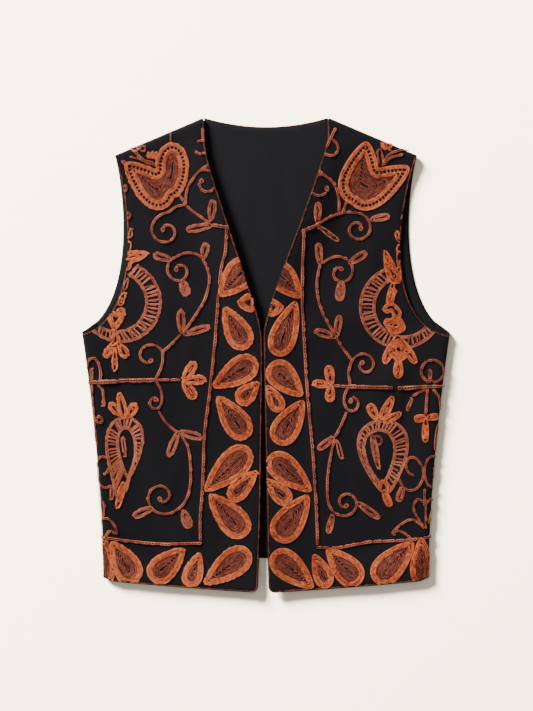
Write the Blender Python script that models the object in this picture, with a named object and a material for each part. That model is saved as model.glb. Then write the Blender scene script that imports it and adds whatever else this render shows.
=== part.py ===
"""An embroidered gilet, laid flat on its back with both fronts up.

Lengths are millimetres until mesh_object() turns them into metres. +X is the wearer's left,
+Y runs from hem to neck and +Z is up. A plan point is (out, y), where out is the distance
from the middle of the garment towards one side, so both fronts share the same functions.

Each front is cut as one flat pattern. Its side and its shoulder are carried over a soft fold
and meet the back in a seam on the underside, as the embroidery runs round both sides.
"""

import math

import bmesh
import bpy
from mathutils import Vector
from mathutils.geometry import delaunay_2d_cdt

METRES = 0.001

# Cut, as the garment measures when it lies flat
NECK_POINT = Vector((84.0, 322.5))
SHOULDER_TIP = Vector((205.0, 271.0))
CHEST_HALF = 250.0
UNDERARM_Y = 32.0
HEM_HALF = 220.5
SIDE_HEM_Y = -306.0
FRONT_CORNER_Y = -322.5
SIDE_CURVE = 1.7  # how early the side draws in below the armhole
HEM_CURVE = 1.25
BACK_HEM_RISE = 30.0  # the back hem is this much higher at the middle than at the sides
BACK_NECK_DROP = 12.5
CORNER_RADIUS = 9.0

# Armholes as Bezier handles from shoulder tip to underarm; the fronts are cut deeper
BACK_ARMHOLE = ((205.0, 271.0), (184.0, 180.0), (190.0, 55.0), (250.0, 32.0))

# Edge of each front from the neck point down the V to the hem
# y, out on the wearer's right front, out on the wearer's left front
FRONT_EDGES = (
    (322.5, 84.0, 84.0),
    (290.0, 83.0, 82.5),
    (256.0, 76.0, 72.5),
    (180.0, 52.0, 46.0),
    (90.0, 22.0, 12.5),
    (40.0, 7.5, -2.0),
    (8.0, 4.8, -3.4),
    (-60.0, 5.4, -2.0),
    (-200.0, 7.2, 1.0),
    (-280.0, 9.4, 2.4),
    (-322.5, 11.0, 3.4),
)

# Walls and layers
FRONT_WALL = 3.0  # cloth stiff with stitching, interlining and its own lining in one
BACK_WALL = 1.6
LINING_WALL = 1.0
SEAM_GAP = 0.3
LINING_INSET = 2.0  # how far the lining stops inside the neck and the armholes
LINING_HEM_INSET = 7.0

# Heights of the outer face above the surface it lies on
REST_HEIGHT = BACK_WALL + LINING_WALL + FRONT_WALL + 2 * SEAM_GAP  # a front lying on the lining
SIDE_HEIGHT_UNDERARM = 10.0
SIDE_HEIGHT_HEM = 9.6
SHOULDER_HEIGHT = 9.2
SIDE_BLEND = 46.0
SHOULDER_BLEND = 45.0
ARMHOLE_FADE = 60.0
SIDE_STRIP = 16.0  # cloth carried under the side before the seam
SHOULDER_STRIP = 12.0
SIDE_CORNER_RISE = 4.0  # the hem turns up to the side fold
SIDE_CORNER_WIDTH = 14.0

# How far the front edge stands off the lining
# y, rise
EDGE_ROLLS = (
    (322.5, 3.0),
    (250.0, 6.5),
    (170.0, 8.4),
    (90.0, 6.4),
    (20.0, 4.2),
    (-100.0, 3.4),
    (-220.0, 3.2),
    (-322.5, 3.6),
)
EDGE_ROLL_WIDTH = 62.0
HEM_ROLL = 3.4
HEM_ROLL_WIDTH = 52.0

# Soft swells where the cloth does not lie flat
# out, y, half length, half width, turn in degrees, height
SWELLS = (
    (150.0, 160.0, 84.0, 24.0, 74.0, 1.5),
    (192.0, 6.0, 74.0, 22.0, 38.0, 2.2),
    (112.0, 66.0, 86.0, 22.0, 18.0, 1.3),
    (78.0, -70.0, 96.0, 20.0, 102.0, 1.1),
    (146.0, -118.0, 104.0, 24.0, 82.0, 1.6),
    (184.0, -214.0, 70.0, 20.0, 66.0, 1.3),
    (96.0, -226.0, 72.0, 22.0, 122.0, 1.2),
)

# Raised chain-stitch work
THREAD_RELIEF = 1.1
RELIEF_SLOPE = 1.6  # plan width of the step from cloth to stitching
CLOTH_MARGIN = 2.4  # plain cloth left along every edge
DROP_BLUNTNESS = 0.42  # how round the narrow end of a drop is

# Drops down the front edge and along the hem
# tip out, tip y, far out, far y, width
RIGHT_DROPS = (
    (62.6, 80.2, 19.0, 126.5, 43.0),
    (38.5, 70.6, 11.9, 70.6, 26.6),
    (56.2, 64.6, 25.8, 8.2, 37.0),
    (71.5, -43.5, 12.2, -6.8, 38.0),
    (9.5, -36.7, 38.1, -65.3, 27.0),
    (65.7, -56.3, 24.5, -112.9, 38.0),
    (82.3, -184.6, 21.8, -126.5, 41.0),
    (12.2, -156.4, 49.0, -197.2, 27.0),
    (76.7, -189.3, 25.8, -244.8, 41.0),
    (83.0, -310.1, 21.8, -265.2, 40.0),
    (89.8, -267.9, 104.7, -314.2, 28.0),
    (110.2, -262.5, 156.4, -304.6, 38.0),
    (209.4, -253.0, 175.4, -308.7, 39.0),
)
LEFT_DROPS = (
    (46.9, 77.5, 8.2, 121.0, 38.0),
    (24.1, 63.9, -0.9, 63.9, 25.0),
    (40.8, 72.8, 13.6, -1.4, 38.0),
    (49.0, -55.8, 5.4, -11.6, 39.0),
    (1.4, -40.8, 20.4, -76.8, 23.0),
    (51.0, -61.9, 13.6, -120.4, 39.0),
    (61.2, -185.0, 4.1, -136.0, 39.0),
    (-0.5, -168.0, 32.6, -201.3, 26.0),
    (57.8, -190.4, 13.6, -251.6, 43.0),
    (63.9, -315.5, 8.8, -267.9, 40.0),
    (65.3, -270.0, 84.3, -315.5, 27.0),
    (83.0, -262.5, 127.8, -310.0, 39.0),
    (200.0, -253.0, 146.9, -307.4, 41.0),
)

# Two drops that share their round ends make a tulip head, same columns
RIGHT_TULIP = (
    (127.8, 289.7, 127.8, 214.9, 45.0),
    (190.9, 260.4, 127.8, 205.4, 48.0),
)
LEFT_TULIP = (
    (136.7, 289.0, 121.0, 202.6, 57.0),
    (194.5, 254.3, 114.2, 206.7, 50.0),
)

# Crown of the pomegranate, then its tail, same columns
RIGHT_PETALS = (
    (211.9, -66.9, 187.7, -88.0, 13.0),
    (199.0, -52.6, 187.7, -88.0, 13.0),
    (175.3, -66.9, 187.7, -88.0, 13.0),
)
LEFT_PETALS = (
    (141.4, -64.7, 156.4, -90.0, 15.0),
    (171.4, -56.8, 156.4, -90.0, 15.0),
    (183.1, -79.8, 156.4, -90.0, 15.0),
    (168.6, -207.0, 160.5, -180.0, 11.0),
)

# Pomegranate body, then the hollow in it, same columns
RIGHT_FRUIT = (
    (199.9, -204.0, 190.4, -83.0, 53.0),
    (187.7, -157.8, 189.0, -102.0, 14.0),
)
LEFT_FRUIT = (
    (163.2, -190.4, 156.4, -84.3, 70.0),
    (153.7, -161.8, 152.3, -102.0, 37.0),
)

# Crescent: middle out, middle y, outer radius, inner radius, lean outwards, first and last degree
RIGHT_CRESCENT = (204.0, 74.8, 57.0, 40.0, 5.0, 119.0, 296.0)
LEFT_CRESCENT = (185.0, 68.0, 57.0, 39.0, 2.0, 113.0, 314.0)

# Mesh fineness
OUTER_STEP = 17.0
INNER_STEP = 25.0
EDGE_STEP = 21.0
SEAM_STEP = 26.0
SEAM_CLEAR = 8.0  # from the seam's ends to its first grid row
BACK_STEP = 40.0
NECK_STEP = 12.0
HEM_STEP = 20.0
FOLD_STEPS = 4
FOLD_STRETCH = 1.3
CURVE_STEPS = 40
ARMHOLE_STEPS = 16
ARMHOLE_CLEAR = 4.5
CORNER_LEAD = 14.0
DROP_POINTS = 22
FRUIT_POINTS = 30
ARC_STEP = 8.0
NEAREST_POINTS = 1.3
SHARPEST_CORNER = 0.5  # keeps the step narrow at a drop's tip
GRID_CLEARANCE = 0.42
FOLD_CLEARANCE = 2.3

BLACK_CLOTH = (0.012, 0.012, 0.014, 1.0)
LINING_CLOTH = (0.030, 0.030, 0.033, 1.0)
CLOTH_ROUGHNESS = 0.9
LINING_ROUGHNESS = 0.6
SMOOTH_ANGLE = 40.0


class Front:
    """What differs between the two fronts."""

    def __init__(self, name, sign, column, armhole, drops, tulip, petals, fruit, crescent, swell_shift):
        self.name = name
        self.sign = sign
        self.column = column
        self.armhole = armhole
        self.drops = drops + tulip + petals
        self.fruit = fruit
        self.crescent = crescent
        self.swell_shift = swell_shift


FRONTS = (
    Front(
        "front_right",
        -1,
        1,
        ((205.0, 271.0), (178.0, 178.0), (178.0, 46.0), (250.0, 28.0)),
        RIGHT_DROPS,
        RIGHT_TULIP,
        RIGHT_PETALS,
        RIGHT_FRUIT,
        RIGHT_CRESCENT,
        0.0,
    ),
    Front(
        "front_left",
        1,
        2,
        ((205.0, 271.0), (172.0, 172.0), (168.0, 40.0), (250.0, 26.0)),
        LEFT_DROPS,
        LEFT_TULIP,
        LEFT_PETALS,
        LEFT_FRUIT,
        LEFT_CRESCENT,
        22.0,
    ),
)

ALONG = (SHOULDER_TIP - NECK_POINT).normalized()
ACROSS = Vector((-ALONG.y, ALONG.x))
SHOULDER_RADIUS = SHOULDER_HEIGHT / 2


def smooth(value):
    """0 below 0, 1 above 1, and an S curve between."""
    value = min(1.0, max(0.0, value))
    return value * value * (3 - 2 * value)


def bezier(handles, steps):
    """Points along a cubic Bezier."""
    a, b, c, d = (Vector(handle) for handle in handles)
    points = []
    for i in range(steps + 1):
        t = i / steps
        s = 1 - t
        points.append(a * s**3 + b * 3 * s * s * t + c * 3 * s * t * t + d * t**3)
    return points


def along_polyline(points, key, value):
    """The point where key(point), which rises along the points, reaches value."""
    for p, q in zip(points, points[1:]):
        low, high = key(p), key(q)
        if low <= value <= high and high > low:
            return p.lerp(q, (value - low) / (high - low))
    return points[-1] if key(points[-1]) < value else points[0]


def curve_value(rows, column, y):
    """A value of the table at this y, on a smooth curve; the rows run from high y to low y."""
    y = min(rows[0][0], max(rows[-1][0], y))
    k = next(i for i in range(len(rows) - 1) if rows[i + 1][0] <= y)

    def slope(i):
        i = min(len(rows) - 2, max(1, i))
        return (rows[i + 1][column] - rows[i - 1][column]) / (rows[i + 1][0] - rows[i - 1][0])

    span = rows[k + 1][0] - rows[k][0]
    t = (y - rows[k][0]) / span
    start, end = rows[k][column], rows[k + 1][column]
    return (
        start * (1 + 2 * t) * (1 - t) ** 2
        + slope(k) * span * t * (1 - t) ** 2
        + end * t * t * (3 - 2 * t)
        + slope(k + 1) * span * t * t * (t - 1)
    )


def edge_out(front, y):
    """Where the front's inner edge lies at this height."""
    return curve_value(FRONT_EDGES, front.column, y)


def side_out(y):
    """Half width of the body at this height, at the outside of the side fold."""
    share = min(1.0, max(0.0, (UNDERARM_Y - y) / (UNDERARM_Y - SIDE_HEM_Y)))
    return HEM_HALF + (CHEST_HALF - HEM_HALF) * (1 - share) ** SIDE_CURVE


def side_fold(y):
    """(where the side fold starts, its outer radius) at this height."""
    share = min(1.0, max(0.0, (UNDERARM_Y - y) / (UNDERARM_Y - SIDE_HEM_Y)))
    height = SIDE_HEIGHT_UNDERARM + (SIDE_HEIGHT_HEM - SIDE_HEIGHT_UNDERARM) * share
    return side_out(y) - height / 2, height / 2


def seam_out(y):
    """Where the side seam lies on the underside."""
    return side_fold(y)[0] - SIDE_STRIP


def side_corner(out):
    """How much the hem has turned up on its way to the side fold."""
    return SIDE_CORNER_RISE * smooth((out - HEM_HALF + SIDE_CORNER_WIDTH) / SIDE_CORNER_WIDTH)


def front_hem_y(out):
    share = min(1.0, max(0.0, out / HEM_HALF))
    level = SIDE_HEM_Y + (FRONT_CORNER_Y - SIDE_HEM_Y) * (1 - share**HEM_CURVE)
    return level + side_corner(out)


def back_hem_y(out):
    return SIDE_HEM_Y + BACK_HEM_RISE * (1 - (out / HEM_HALF) ** 2) + side_corner(out)


def past_shoulder(point):
    """How far a pattern point lies past the line where the shoulder fold starts."""
    return (point - NECK_POINT).dot(ACROSS) + SHOULDER_RADIUS


def under_side(point):
    """Pattern point of a plan point that lies under the side."""
    start, radius = side_fold(point.y)
    return Vector((start + math.pi * radius + start - point.x, point.y))


def under_shoulder(point):
    """Pattern point of a plan point that lies under the shoulder."""
    along = (point - NECK_POINT).dot(ALONG)
    depth = -(point - NECK_POINT).dot(ACROSS)
    past = math.pi * SHOULDER_RADIUS + depth - SHOULDER_RADIUS
    return NECK_POINT + ALONG * along + ACROSS * (past - SHOULDER_RADIUS)


def face_height(front, point):
    """Height of the outer face over the flat part of a front."""
    from_edge = point.x - edge_out(front, point.y)
    from_hem = point.y - front_hem_y(point.x)
    edge = curve_value(EDGE_ROLLS, 1, point.y) * (1 - smooth(from_edge / EDGE_ROLL_WIDTH))
    hem = HEM_ROLL * (1 - smooth(from_hem / HEM_ROLL_WIDTH))
    height = REST_HEIGHT + math.hypot(edge, hem)
    for out, y, half_length, half_width, turn, rise in SWELLS:
        away = point - Vector((out, y - front.swell_shift))
        angle = math.radians(turn)
        u = away.x * math.cos(angle) + away.y * math.sin(angle)
        v = away.y * math.cos(angle) - away.x * math.sin(angle)
        height += rise * math.exp(-((u / half_length) ** 2) - (v / half_width) ** 2)
    start, radius = side_fold(point.y)
    inside = (start - point.x) / SIDE_BLEND + max(0.0, point.y - UNDERARM_Y) / ARMHOLE_FADE
    below = smooth(-past_shoulder(point) / SHOULDER_BLEND)
    height = SHOULDER_HEIGHT + (height - SHOULDER_HEIGHT) * below
    return 2 * radius + (height - 2 * radius) * smooth(inside)


def fold_over(front, point, depth):
    """Plan point and height of a pattern point, depth inside the outer face."""
    past = past_shoulder(point)
    if past > 0:
        turn = past / SHOULDER_RADIUS
        reach = SHOULDER_RADIUS - depth
        if turn < math.pi:
            across = reach * math.sin(turn) - SHOULDER_RADIUS
            height = SHOULDER_RADIUS + reach * math.cos(turn)
        else:
            across = math.pi * SHOULDER_RADIUS - past - SHOULDER_RADIUS
            height = depth
        along = (point - NECK_POINT).dot(ALONG)
        plan = NECK_POINT + ALONG * along + ACROSS * across
        return Vector((plan.x, plan.y, height))
    start, radius = side_fold(point.y)
    past = point.x - start
    if past <= 0:
        return Vector((point.x, point.y, face_height(front, point) - depth))
    turn = past / radius
    if turn < math.pi:
        reach = radius - depth
        return Vector((start + reach * math.sin(turn), point.y, radius + reach * math.cos(turn)))
    return Vector((start - (past - math.pi * radius), point.y, depth))


def spaced(low, high, step):
    """Even values from low to high, both included."""
    count = max(1, round(abs(high - low) / step))
    return [low + (high - low) * i / count for i in range(count + 1)]


def rounded_corner(front):
    """The front's lower corner as an arc from its edge to its hem."""
    corner_y = front_hem_y(edge_out(front, FRONT_CORNER_Y))
    middle = Vector((edge_out(front, corner_y + CORNER_RADIUS), corner_y))
    middle += Vector((CORNER_RADIUS, CORNER_RADIUS))
    turns = [math.radians(angle) for angle in (180, 210, 240, 270)]
    return [middle + CORNER_RADIUS * Vector((math.cos(t), math.sin(t))) for t in turns]


def out_of(point):
    return point.x


def below_ridge(point):
    """Distance from the shoulder's ridge line towards the hem."""
    return -(point - NECK_POINT).dot(ACROSS)


def front_edge_run(front, top_y):
    """The V and the centre edge down to the rounded corner."""
    corner = rounded_corner(front)
    edge_ys = spaced(top_y, corner[0].y + CORNER_LEAD, EDGE_STEP)
    return [Vector((edge_out(front, y), y)) for y in edge_ys] + corner


def hem_run(corner):
    """The hem from the corner, round the side fold, to the side seam."""
    fold_out = side_fold(SIDE_HEM_Y)[0]
    seam = seam_out(SIDE_HEM_Y)
    run = [Vector((out, front_hem_y(out))) for out in spaced(corner.x, fold_out, OUTER_STEP)[1:]]
    run += side_turn(run[-1].y, back_hem_y(fold_out))
    run.append(under_side(Vector((fold_out, back_hem_y(fold_out)))))
    run.append(under_side(Vector((seam, back_hem_y(seam)))))
    return run


def seam_rows(bottom_y, top_y):
    """Heights of the side seam's points from the bottom up, on one grid for every piece it joins."""
    first = math.ceil((bottom_y + SEAM_CLEAR) / SEAM_STEP)
    last = math.floor((top_y - SEAM_CLEAR) / SEAM_STEP)
    return [bottom_y] + [SEAM_STEP * i for i in range(first, last + 1)] + [top_y]


def side_seam_run(back_armhole):
    """The side seam on the underside, from the hem to the armhole."""
    bottom_y = back_hem_y(seam_out(SIDE_HEM_Y))
    top = along_polyline(back_armhole, out_of, seam_out(UNDERARM_Y))
    return [under_side(Vector((seam_out(y), y))) for y in seam_rows(bottom_y, top.y)[1:]]


def armhole_run(front, fold_out, ridge_end):
    """The front's armhole between the side fold and the shoulder fold."""
    points = bezier(front.armhole, ARMHOLE_STEPS)[::-1]
    return [
        p for p in points if p.x < fold_out - ARMHOLE_CLEAR and below_ridge(p) > ridge_end + ARMHOLE_CLEAR
    ]


def shoulder_seam_run(back_armhole, top_y):
    """The shoulder seam on the underside, from the armhole to the neck."""
    seam_depth = SHOULDER_RADIUS + SHOULDER_STRIP
    end = along_polyline(back_armhole, below_ridge, seam_depth)
    neck = Vector((NECK_POINT.x, NECK_POINT.y - seam_depth / ACROSS.y))
    run = [under_shoulder(along_polyline(back_armhole, below_ridge, SHOULDER_RADIUS))]
    run += [under_shoulder(end.lerp(neck, share)) for share in spaced(0, 1, EDGE_STEP / (end - neck).length)]
    run.append(under_shoulder(Vector((NECK_POINT.x, top_y))))
    return run


def front_outline(front):
    """The whole edge of a front's pattern, anticlockwise from the top of its V edge."""
    top_y = NECK_POINT.y - SHOULDER_RADIUS / ACROSS.y
    front_armhole = bezier(front.armhole, CURVE_STEPS)
    back_armhole = bezier(BACK_ARMHOLE, CURVE_STEPS)
    lower_front = front_armhole[CURVE_STEPS // 2 :]
    lower_back = back_armhole[CURVE_STEPS // 2 :]
    fold_out = side_fold(UNDERARM_Y)[0]
    side_top = along_polyline(lower_front, out_of, fold_out)
    side_under = along_polyline(lower_back, out_of, fold_out)
    ridge_top = along_polyline(front_armhole, below_ridge, SHOULDER_RADIUS)
    ridge_under = along_polyline(back_armhole, below_ridge, SHOULDER_RADIUS)
    neck = Vector((NECK_POINT.x, top_y))

    outline = front_edge_run(front, top_y)
    outline += hem_run(outline[-1])
    outline += side_seam_run(lower_back)
    outline.append(under_side(side_under))
    outline += side_turn(side_top.y, side_under.y)[::-1]
    outline.append(side_top)
    outline += armhole_run(front, fold_out, SHOULDER_RADIUS)
    outline.append(ridge_top)
    outline += shoulder_turn(ridge_top, ridge_under)
    outline += shoulder_seam_run(back_armhole, top_y)
    outline += shoulder_turn(neck, neck)[::-1]
    return outline


def side_turn(y_top, y_under):
    """Pattern points of an edge that goes round the side fold, without its two ends."""
    points = []
    for k in range(1, FOLD_STEPS):
        y = y_top + (y_under - y_top) * k / FOLD_STEPS
        start, radius = side_fold(y)
        points.append(Vector((start + math.pi * radius * k / FOLD_STEPS, y)))
    return points


def shoulder_turn(top, under):
    """Pattern points of an edge that goes round the shoulder fold, without its two ends."""
    along_top = (top - NECK_POINT).dot(ALONG)
    along_under = (under - NECK_POINT).dot(ALONG)
    points = []
    for k in range(1, FOLD_STEPS):
        share = k / FOLD_STEPS
        along = along_top + (along_under - along_top) * share
        past = math.pi * SHOULDER_RADIUS * share
        points.append(NECK_POINT + ALONG * along + ACROSS * (past - SHOULDER_RADIUS))
    return points


def inside_loop(point, loop):
    crossings = False
    for p, q in zip(loop, loop[1:] + loop[:1]):
        if (p.y > point.y) != (q.y > point.y):
            if point.x < p.x + (q.x - p.x) * (point.y - p.y) / (q.y - p.y):
                crossings = not crossings
    return crossings


def loop_distance(point, loop):
    nearest = 1e9
    for p, q in zip(loop, loop[1:] + loop[:1]):
        side = q - p
        share = min(1.0, max(0.0, (point - p).dot(side) / max(side.length_squared, 1e-9)))
        nearest = min(nearest, (point - p - side * share).length)
    return nearest


def inset(loop, distance):
    """The loop moved inwards; a negative distance moves it outwards."""
    moved = []
    for before, here, after in zip(loop[-1:] + loop[:-1], loop, loop[1:] + loop[:1]):
        first = (here - before).normalized()
        second = (after - here).normalized()
        side = Vector((-first.y - second.y, first.x + second.x))
        side.normalize()
        sharpness = max(SHARPEST_CORNER, side.dot(Vector((-first.y, first.x))))
        moved.append(here + side * distance / sharpness)
    return moved


def anticlockwise(loop):
    area = sum(p.x * q.y - q.x * p.y for p, q in zip(loop, loop[1:] + loop[:1]))
    return loop if area > 0 else loop[::-1]


def drop_width(angle):
    """Width of a drop at this angle round it, before scaling."""
    return math.sin(angle) * (DROP_BLUNTNESS + (1 - DROP_BLUNTNESS) * math.sin(angle / 2) ** 2)


def drop(row, count=DROP_POINTS):
    """A drop with its narrow end at the tip and its round end at the far point."""
    tip = Vector(row[0:2])
    axis = Vector(row[2:4]) - tip
    side = Vector((-axis.y, axis.x)).normalized()
    widest = max(drop_width(math.radians(degree)) for degree in range(90, 130))
    points = []
    for i in range(count):
        angle = 2 * math.pi * (i + 0.5) / count
        across = drop_width(angle) / widest * row[4] / 2
        points.append(tip + axis * (1 - math.cos(angle)) / 2 + side * across)
    return anticlockwise(points)


def crescent(row):
    """A band between two arcs, of which the inner one leans outwards."""
    out, y, outer, inner, lean, first, last = row
    loop = []
    for radius, shift, start, end in ((outer, 0.0, first, last), (inner, lean, last, first)):
        for degree in spaced(start, end, math.degrees(ARC_STEP / radius)):
            turn = math.radians(degree)
            loop.append(Vector((out + shift + radius * math.cos(turn), y + radius * math.sin(turn))))
    return anticlockwise(loop)


def raised_areas(front):
    """Each raised motif as (outer loop, hole loop or None)."""
    areas = [(drop(row), None) for row in front.drops]
    areas.append((crescent(front.crescent), None))
    body, hollow = front.fruit
    areas.append((drop(body, FRUIT_POINTS), drop(hollow, FRUIT_POINTS // 2)))
    return areas


def signed_depth(point, loop):
    """How far the point lies inside the loop, negative outside it."""
    distance = loop_distance(point, loop)
    return distance if inside_loop(point, loop) else -distance


def relief(point, areas):
    """0 on plain cloth and 1 on stitching, with the step between them."""
    most = 0.0
    for outer, hole in areas:
        middle = sum(outer, Vector((0, 0))) / len(outer)
        if (point - middle).length > max((p - middle).length for p in outer):
            continue
        depth = signed_depth(point, outer)
        if hole:
            depth = min(depth, -signed_depth(point, hole))
        most = max(most, depth / RELIEF_SLOPE)
    return smooth(most)


def motif_points(outline, areas):
    """Points along both edges of each step, where they lie on the cloth and apart."""
    found = []
    for outer, hole in areas:
        for loop, distance in ((outer, RELIEF_SLOPE), (hole, -RELIEF_SLOPE)):
            if not loop:
                continue
            for point in loop + inset(loop, distance):
                if inside_loop(point, outline) and loop_distance(point, outline) > CLOTH_MARGIN:
                    if all((point - other).length > NEAREST_POINTS for other in found):
                        found.append(point)
    return found


def triangulate(outline, points):
    """(vertices, triangles, place of each outline point)."""
    made = delaunay_2d_cdt(list(outline) + points, [], [list(range(len(outline)))], 1, 1e-4)
    vertices, triangles, sources = made[0], made[2], made[3]
    place = {}
    for index, origin in enumerate(sources):
        for i in origin:
            place[i] = index
    return vertices, triangles, [place[i] for i in range(len(outline))]


def grid_points(step):
    """Points over the whole flat part, on a staggered grid."""
    points = []
    for row, y in enumerate(spaced(FRONT_CORNER_Y, NECK_POINT.y, step * math.sqrt(0.75))):
        first = (row % 2) * step / 2 - step
        points += [Vector((first + step * i, y)) for i in range(round(CHEST_HALF / step) + 3)]
    return points


def fold_points(step):
    """Rows of points along the side fold and the shoulder fold."""
    points = []
    for y in spaced(SIDE_HEM_Y + step, UNDERARM_Y, step * FOLD_STRETCH):
        start, radius = side_fold(y)
        for k in range(FOLD_STEPS + 1):
            points.append(Vector((start + math.pi * radius * k / FOLD_STEPS, y)))
    for along in spaced(0, (SHOULDER_TIP - NECK_POINT).length, step * FOLD_STRETCH):
        for k in range(FOLD_STEPS + 1):
            past = math.pi * SHOULDER_RADIUS * k / FOLD_STEPS
            points.append(NECK_POINT + ALONG * along + ACROSS * (past - SHOULDER_RADIUS))
    return points


def clear_of(point, outline, kept, distance):
    """Whether the point lies on the cloth, this far from its edge and from the kept points."""
    if not inside_loop(point, outline) or loop_distance(point, outline) < distance:
        return False
    return all((point - other).length > distance for other in kept)


def fill_points(outline, kept, step):
    """Points over the flat part and rows along both folds, clear of the points kept already."""
    clear = step * GRID_CLEARANCE
    found = []
    for point in grid_points(step):
        if point.x < side_fold(point.y)[0] - clear and past_shoulder(point) < -clear:
            if clear_of(point, outline, kept, clear):
                found.append(point)
    return found + [p for p in fold_points(step) if clear_of(p, outline, kept, FOLD_CLEARANCE)]


def mesh_object(name, vertices, faces, colour, roughness):
    """Makes one closed piece of cloth, in metres, with its own material."""
    mesh = bpy.data.meshes.new(name)
    mesh.from_pydata([v * METRES for v in vertices], [], faces)
    shape = bmesh.new()
    shape.from_mesh(mesh)
    bmesh.ops.recalc_face_normals(shape, faces=shape.faces)
    shape.to_mesh(mesh)
    shape.free()
    mesh.shade_smooth()
    mesh.set_sharp_from_angle(angle=math.radians(SMOOTH_ANGLE))
    material = bpy.data.materials.new(name)
    material.use_nodes = True
    shader = material.node_tree.nodes["Principled BSDF"]
    shader.inputs["Base Color"].default_value = colour
    shader.inputs["Roughness"].default_value = roughness
    shader.inputs["Metallic"].default_value = 0.0
    mesh.materials.append(material)
    piece = bpy.data.objects.new(name, mesh)
    bpy.context.scene.collection.objects.link(piece)
    return piece


def make_front(front):
    """A front: an outer face with raised stitching, a plain inside, and the edge between them."""
    outline = front_outline(front)
    areas = raised_areas(front)
    steps = motif_points(outline, areas)
    flat, triangles, rim = triangulate(outline, steps + fill_points(outline, steps, OUTER_STEP))
    edge_points = set(rim)
    vertices = []
    for index, point in enumerate(flat):
        height = 0.0 if index in edge_points else THREAD_RELIEF * relief(point, areas)
        vertices.append(fold_over(front, point, -height))
    faces = [tuple(face) for face in triangles]

    inner_flat, inner_triangles, inner_rim = triangulate(outline, fill_points(outline, [], INNER_STEP))
    first = len(vertices)
    vertices += [fold_over(front, point, FRONT_WALL) for point in inner_flat]
    faces += [tuple(first + i for i in face) for face in inner_triangles]
    for i in range(len(rim)):
        j = (i + 1) % len(rim)
        faces.append((rim[i], rim[j], first + inner_rim[j], first + inner_rim[i]))
    placed = [Vector((front.sign * v.x, v.y, v.z)) for v in vertices]
    return mesh_object(front.name, placed, faces, BLACK_CLOTH, CLOTH_ROUGHNESS)


def back_outline(edge_inset, hem_inset):
    """Plan outline of the back between its seams, anticlockwise."""
    half = []
    neck_out = NECK_POINT.x - SEAM_GAP
    for out in spaced(0, neck_out, NECK_STEP):
        drop_share = (out / NECK_POINT.x) ** 2
        half.append(Vector((out, NECK_POINT.y - BACK_NECK_DROP * (1 - drop_share) - edge_inset)))
    seam_depth = SHOULDER_RADIUS + SHOULDER_STRIP + SEAM_GAP
    half.append(Vector((neck_out, NECK_POINT.y - seam_depth / ACROSS.y)))

    armhole = [p - Vector((edge_inset, 0)) for p in bezier(BACK_ARMHOLE, CURVE_STEPS)]
    lower = armhole[CURVE_STEPS // 2 :]
    seam_top = along_polyline(lower, out_of, seam_out(UNDERARM_Y) - SEAM_GAP)
    half.append(along_polyline(armhole, below_ridge, seam_depth))
    for point in armhole[::2]:
        if below_ridge(point) > seam_depth + ARMHOLE_CLEAR and point.y > seam_top.y + ARMHOLE_CLEAR:
            half.append(point)

    seam_bottom_y = back_hem_y(seam_out(SIDE_HEM_Y)) + hem_inset
    seam_ys = seam_rows(seam_bottom_y, seam_top.y)[::-1]
    half += [Vector((seam_out(y) - SEAM_GAP, y)) for y in seam_ys]
    for out in spaced(seam_out(SIDE_HEM_Y), 0, HEM_STEP)[1:]:
        half.append(Vector((out, back_hem_y(out) + hem_inset)))
    other = [Vector((-p.x, p.y)) for p in half[-2:0:-1]]
    return anticlockwise(half + other)


def make_sheet(name, outline, bottom, top, colour, roughness):
    """A flat sheet of cloth between two heights."""
    points = []
    for y in spaced(FRONT_CORNER_Y, NECK_POINT.y, BACK_STEP):
        for out in spaced(-CHEST_HALF, CHEST_HALF, BACK_STEP):
            point = Vector((out, y))
            if clear_of(point, outline, [], BACK_STEP * GRID_CLEARANCE):
                points.append(point)
    flat, triangles, rim = triangulate(outline, points)
    count = len(flat)
    vertices = [Vector((p.x, p.y, top)) for p in flat] + [Vector((p.x, p.y, bottom)) for p in flat]
    faces = [tuple(face) for face in triangles]
    faces += [tuple(count + i for i in reversed(face)) for face in triangles]
    for i in range(len(rim)):
        j = (i + 1) % len(rim)
        faces.append((rim[i], rim[j], count + rim[j], count + rim[i]))
    return mesh_object(name, vertices, faces, colour, roughness)


def clear_scene():
    for piece in list(bpy.data.objects):
        bpy.data.objects.remove(piece)


def main():
    clear_scene()
    for front in FRONTS:
        make_front(front)
    make_sheet("back", back_outline(0.0, 0.0), 0.0, BACK_WALL, BLACK_CLOTH, CLOTH_ROUGHNESS)
    lining_bottom = BACK_WALL + SEAM_GAP
    lining_edge = back_outline(LINING_INSET, LINING_HEM_INSET)
    lining_top = lining_bottom + LINING_WALL
    make_sheet("back_lining", lining_edge, lining_bottom, lining_top, LINING_CLOTH, LINING_ROUGHNESS)


main()
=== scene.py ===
# %% [markdown]
# An embroidered gilet lies flat on a pale surface, with both fronts up.
# Two fronts, a back and its lining are thin sheets of cloth, and wool chain stitch covers the fronts.
# The imported solids are loaded first, with their places baked into their meshes.

# %% Load the frame
import math

import bmesh
import bpy
import numpy as np
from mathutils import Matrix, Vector
from mathutils.geometry import delaunay_2d_cdt


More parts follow.
